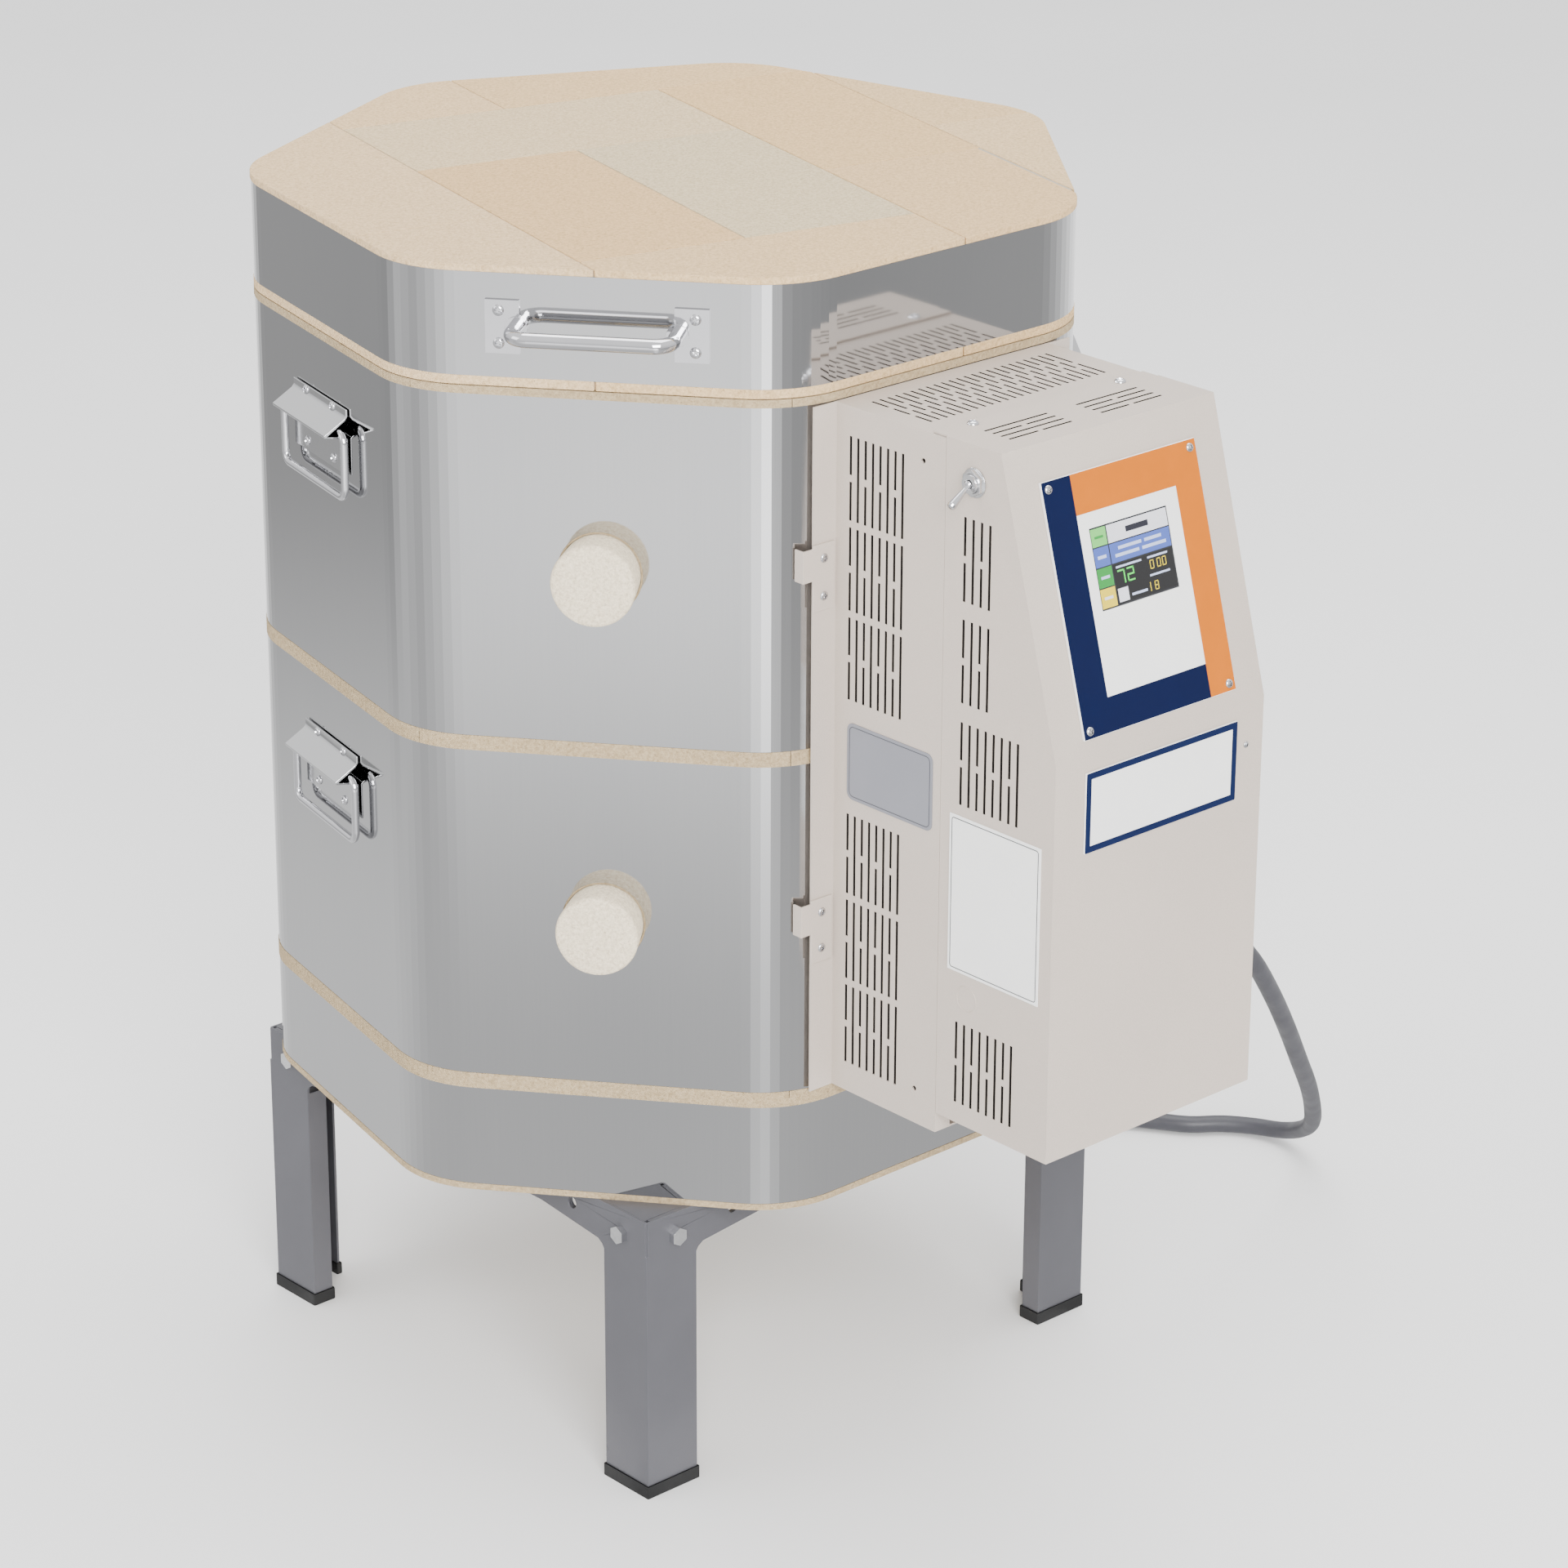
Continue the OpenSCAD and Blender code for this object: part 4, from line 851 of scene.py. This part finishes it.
def digit(ch, x, s, w, h, key):
    t = 0.17 * w
    th = t * (SX1 - SX0) / (SS1 - SS0)
    rects = {"a": (x, s, x + w, s + th), "g": (x, s + h / 2 - th / 2, x + w, s + h / 2 + th / 2), "d": (x, s + h - th, x + w, s + h),
             "f": (x, s, x + t, s + h / 2), "b": (x + w - t, s, x + w, s + h / 2), "e": (x, s + h / 2, x + t, s + h), "c": (x + w - t, s + h / 2, x + w, s + h)}
    for k in SEG[ch]:
        tile(*rects[k], key, 0.00008)


digit("7", 0.26, 0.58, 0.09, 0.17, "digit")
digit("2", 0.38, 0.58, 0.09, 0.17, "digit")
digit("0", 0.68, 0.58, 0.05, 0.11, "amber")
digit("0", 0.77, 0.58, 0.05, 0.11, "amber")
digit("0", 0.84, 0.58, 0.05, 0.11, "amber")
digit("1", 0.60, 0.84, 0.05, 0.11, "amber")
digit("8", 0.70, 0.84, 0.05, 0.11, "amber")
obj_from_bm("screen_tiles", bm, [SCR[k] for k in tiles], "control_unit", 20)

# blank name plate with a blue border, blank side plate with a thin line, cover label with a printed frame
bm = bmesh.new()
FR = face(RIGHT)
NP = FR @ Matrix.Translation((0, -(BO + 0.00172), 0)) @ Matrix.Rotation(math.pi / 2, 4, "X")


def frame_ring(mtx, x0, y0, x1, y1, w, r, z0, z1, mi):
    a = rrect(x0, y0, x1, y1, r)
    b = rrect(x0 + w, y0 + w, x1 - w, y1 - w, max(r - w, 0.0003))
    n = len(a)
    va = [[bm.verts.new(mtx @ Vector((p[0], p[1], z))) for p in poly] for poly in (a, b) for z in (z0, z1)]
    ao, at, bo_, btp = va
    for k in range(n):
        j = (k + 1) % n
        for q in ((ao[k], ao[j], at[j], at[k]), (at[k], at[j], btp[j], btp[k]), (btp[k], btp[j], bo_[j], bo_[k])):
            f = bm.faces.new(q)
            f.material_index = mi


n0, n1, nz0, nz1 = bxc - 0.0665, bxc + 0.0665, 0.5019, 0.5545
frame_ring(NP, n0 + 0.0002, nz0 + 0.0002, n1 - 0.0002, nz1 - 0.0002, 0.0042, 0.0006, 0, 0.00008, 0)
SD = face(RIGHT) @ Matrix.Translation((-0.09072, 0, 0)) @ Matrix.Rotation(-math.pi / 2, 4, "Z") @ Matrix.Rotation(math.pi / 2, 4, "X")
frame_ring(SD, 0.1095, 0.4062, 0.1851, 0.5070, 0.0006, 0.002, 0, 0.00006, 1)
obj_from_bm("plate_borders", bm, [MAT["label_blue"], MAT["label_line"]], "control_unit", 20)
bm = bmesh.new()
SD2 = face(RIGHT) @ Matrix.Translation((-0.09062, 0, 0)) @ Matrix.Rotation(-math.pi / 2, 4, "Z") @ Matrix.Rotation(math.pi / 2, 4, "X")
frame_ring(SD2, 0.0165, 0.4922, 0.0895, 0.5395, 0.0005, 0.0036, 0, 0.00006, 0)
obj_from_bm("cover_label_line", bm, [MAT["label_line"]], "kiln_body", 20)

# painted shade: dark colour on the cut edges inside the louvres, standing in for the shade in the slots
edge = simple("louvre_edge_painted_shade", srgb(40, 37, 35), 0.9, vary=0.2, scale=200, bstr=0.1, bscale=900, spec=0.1)
inv = FR.inverted()
for node, zlo, zhi, o0, o1, s0, s1 in (("control_box", 0.7481, 0.7493, 0.100, 0.142, 0.104, 0.172), ("element_cover", 0.7464, 0.7479, 0.010, 0.090, 0.006, 0.084)):
    me = NODES[node].data
    me.materials.append(edge)
    for p in me.polygons:
        c = inv @ p.center
        n = inv.to_3x3() @ p.normal
        if -0.0902 < c.x < -0.0887 and max(abs(n.y), abs(n.z)) > 0.995 and s0 < -c.y < s1 and 0.31 < c.z < 0.742:
            p.material_index = 1
        if zlo < c.z < zhi and abs(n.z) < 0.3 and o0 < -c.y < o1 and -0.086 < c.x < 0.088:
            p.material_index = 1
# painted shade: a dark sheet behind the louvres standing in for the shade inside, and the round knockout in the box
# wall
MAT["liner"] = simple("liner_sheet", srgb(34, 33, 32), 0.9, vary=0.2, scale=120, bstr=0.3, bscale=700, spec=0.1)
bm = bmesh.new()
OZ = Matrix(((0, 0, 1, 0), (-1, 0, 0, 0), (0, 1, 0, 0), (0, 0, 0, 1)))
prism(bm, FR @ OZ, [(0.110, 0.315), (0.192, 0.315), (0.192, 0.560), (0.1575, 0.690), (0.110, 0.690)], -0.0868, -0.0862)
obj_from_bm("box_liner", bm, MAT["liner"], "control_unit", 20)
bm = bmesh.new()
# painted shade: dark sheet behind the cover louvres
prism(bm, FR @ OZ, [(0.010, 0.298), (0.072, 0.298), (0.072, 0.738), (0.010, 0.738)], -0.0868, -0.0862)
obj_from_bm("cover_liner", bm, MAT["liner"], "kiln_body", 20)
bm = bmesh.new()
KM = FR @ Matrix.Translation((-0.0900, -0.1243, 0.3878)) @ Matrix.Rotation(-math.pi / 2, 4, "Y")
lathe(bm, KM, [(0.0090, 0.0), (0.0088, 0.00035), (0.0082, 0.00035), (0.0080, 0.0001), (0.0080, 0.0)], 40, cap=False)
obj_from_bm("box_knockout", bm, MAT["coat"], "control_unit", 40)

# jacket seams: an overlapped edge held by a row of screws at the back of each ring
bm = bmesh.new()
fb = face(BACKL)
for (z0, z1, body) in ((0.2892, 0.5122, 0), (0.5242, 0.6995, 0)):
    m = fb @ Matrix.Translation((0, -0.0008, 0)) @ Matrix.Rotation(math.pi / 2, 4, "X")
    prism(bm, m, rrect(0.004, z0, 0.030, z1, 0.0015), -0.0008, 0.0002)
    k = 5
    for i in range(k):
        screw(bm, out_of(fb, 0.017, 0.0010, z0 + 0.02 + (z1 - z0 - 0.04) * i / (k - 1)), 0.0036, 0.0018)
obj_from_bm("jacket_seams", bm, MAT["jacket"], "kiln_body", 35)

# terminal wiring inside the cover: silicone leads from the element tails to the box side
bm = bmesh.new()
for z0 in (zf1, zr1):
    for i, zz in enumerate((0.038, 0.076, 0.2355 - 0.076, 0.2355 - 0.038)):
        for t in (-0.020, 0.020):
            p0 = FR @ Vector((t, -0.014, z0 + zz))
            p1 = FR @ Vector((t, -0.030, z0 + zz))
            p2 = FR @ Vector((t * 1.8, -0.050, z0 + zz + 0.012))
            p3 = FR @ Vector((t * 2.4, -0.072, z0 + zz + 0.010 - 0.004 * i))
            p4 = FR @ Vector((t * 2.6, -0.095, z0 + zz - 0.004))
            tube(bm, catmull([p0, p1, p2, p3, p4], 5), 0.0021, 8)
            lathe(bm, out_of(FR, t, 0.010, z0 + zz), [(0.0032, 0), (0.0032, 0.012)], 16)
obj_from_bm("terminal_leads", bm, simple("lead_sleeving", srgb(196, 60, 44), 0.55, vary=0.1, scale=200, bstr=0.3, bscale=1200), "kiln_body", 50)

# ------------------------------------------------------------------ stage
bm = bmesh.new()
s = 6
vs = [bm.verts.new((x, y, 0)) for x, y in ((-s, -s), (s, -s), (s, s), (-s, s))]
bm.faces.new(vs)
me = bpy.data.meshes.new("floor")
bm.to_mesh(me)
bm.free()
floor = bpy.data.objects.new("floor", me)
bpy.context.scene.collection.objects.link(floor)
fm_, nt, b = new_mat("pale_floor")
nt.links.new(ramp(nt, tex(nt, coord(nt), 1.2, 3), [(0.3, (0.86, 0.86, 0.86)), (0.7, (0.9, 0.9, 0.9))]), b.inputs["Base Color"])
b.inputs["Roughness"].default_value = 0.75
b.inputs["Specular IOR Level"].default_value = 0.1
me.materials.append(fm_)

w = bpy.data.worlds.new("w")
bpy.context.scene.world = w
w.use_nodes = True
wn = w.node_tree
bg = wn.nodes["Background"]
tc = wn.nodes.new("ShaderNodeTexCoord")
sep = wn.nodes.new("ShaderNodeSeparateXYZ")
wn.links.new(tc.outputs["Generated"], sep.inputs[0])
cr = wn.nodes.new("ShaderNodeValToRGB")
mr = wn.nodes.new("ShaderNodeMapRange")
mr.inputs["From Min"].default_value = -1
mr.inputs["From Max"].default_value = 1
wn.links.new(sep.outputs["Z"], mr.inputs[0])
wn.links.new(mr.outputs[0], cr.inputs[0])
el = cr.color_ramp.elements
el[0].position = 0.40
el[0].color = (0.62, 0.62, 0.64, 1)
el[1].position = 0.72
el[1].color = (1, 1, 1, 1)
wn.links.new(cr.outputs[0], bg.inputs[0])
bg.inputs[1].default_value = 1.5


def area(name, loc, target, size, power, sy=None):
    d = bpy.data.lights.new(name, "AREA")
    d.energy = power
    d.shape = "RECTANGLE"
    d.size = size
    d.size_y = sy or size
    o = bpy.data.objects.new(name, d)
    bpy.context.scene.collection.objects.link(o)
    o.location = loc
    o.rotation_euler = (Vector(target) - Vector(loc)).to_track_quat("-Z", "Y").to_euler()
    return o


area("key", (1.4, -4.0, 2.4), (0, 0, 0.45), 2.4, 330)
area("fill", (-3.2, -1.8, 2.2), (0, 0, 0.4), 2.0, 30)
area("top", (0.2, 0.9, 3.6), (0, 0, 0.5), 2.6, 95)

# painted reflection: a glowing card lying on the floor, seen in the polished sheet only, its brightness set by
# direction to shape the reflections
seg_n, rad_n = 96, 10
bm = bmesh.new()
rings = []
for j in range(rad_n + 1):
    rr = 0.28 * (7.0 / 0.28) ** (j / rad_n)
    rings.append([bm.verts.new((rr * math.cos(2 * math.pi * k / seg_n), rr * math.sin(2 * math.pi * k / seg_n), 0)) for k in range(seg_n)])
for p, q in zip(rings, rings[1:]):
    for k in range(seg_n):
        bm.faces.new((p[k], p[(k + 1) % seg_n], q[(k + 1) % seg_n], q[k]))
me = bpy.data.meshes.new("card")
bm.to_mesh(me)
bm.free()
card = bpy.data.objects.new("painted_reflection_card", me)
card.location = (AX, AY, 0.0006)
bpy.context.scene.collection.objects.link(card)
cm = bpy.data.materials.new("painted_reflection_card")
cm.use_nodes = True
cn = cm.node_tree
for n in list(cn.nodes):
    cn.nodes.remove(n)
cout = cn.nodes.new("ShaderNodeOutputMaterial")
em = cn.nodes.new("ShaderNodeEmission")
cn.links.new(em.outputs[0], cout.inputs[0])
ctc = cn.nodes.new("ShaderNodeTexCoord")
gr = cn.nodes.new("ShaderNodeTexGradient")
gr.gradient_type = "RADIAL"
cn.links.new(ctc.outputs["Object"], gr.inputs[0])
ln = cn.nodes.new("ShaderNodeVectorMath")
ln.operation = "LENGTH"
cn.links.new(ctc.outputs["Object"], ln.inputs[0])


def az(stops):
    st = sorted(((d + 180) / 360, (v / 5.0,) * 3) for d, v in stops)
    return ramp(cn, gr.outputs["Fac"], st)


NEAR = az([(-180, 1.15), (-165, 1.12), (-142, 0.92), (-120, 0.9), (-99, 0.92), (-84, 1.0), (-76, 1.5), (-68, 1.5), (-62, 0.9), (-40, 0.85), (0, 0.8), (30, 1.2), (60, 1.7), (120, 1.7), (145, 1.2), (180, 1.15)])
FAR = az([(-180, 0.62), (-168, 1.05), (-160, 1.0), (-145, 0.85), (-125, 1.3), (-110, 1.8), (-99, 2.1), (-84, 2.4), (-77, 4.0), (-69, 4.0), (-63, 0.9), (-50, 0.62), (0, 0.52), (24, 0.9), (60, 2.0), (120, 2.0), (141, 0.9), (150, 0.55), (179, 0.55)])
mr2 = cn.nodes.new("ShaderNodeMapRange")
mr2.interpolation_type = "SMOOTHSTEP"
mr2.inputs["From Min"].default_value = 0.8
mr2.inputs["From Max"].default_value = 2.25
cn.links.new(ln.outputs["Value"], mr2.inputs[0])
mx = mixc(cn, mr2.outputs[0], NEAR, FAR)
cn.links.new(mx, em.inputs[0])
em.inputs[1].default_value = 5.0
me.materials.append(cm)
card.visible_camera = False
card.visible_diffuse = False
card.visible_shadow = False
card.visible_transmission = False
card.visible_volume_scatter = False
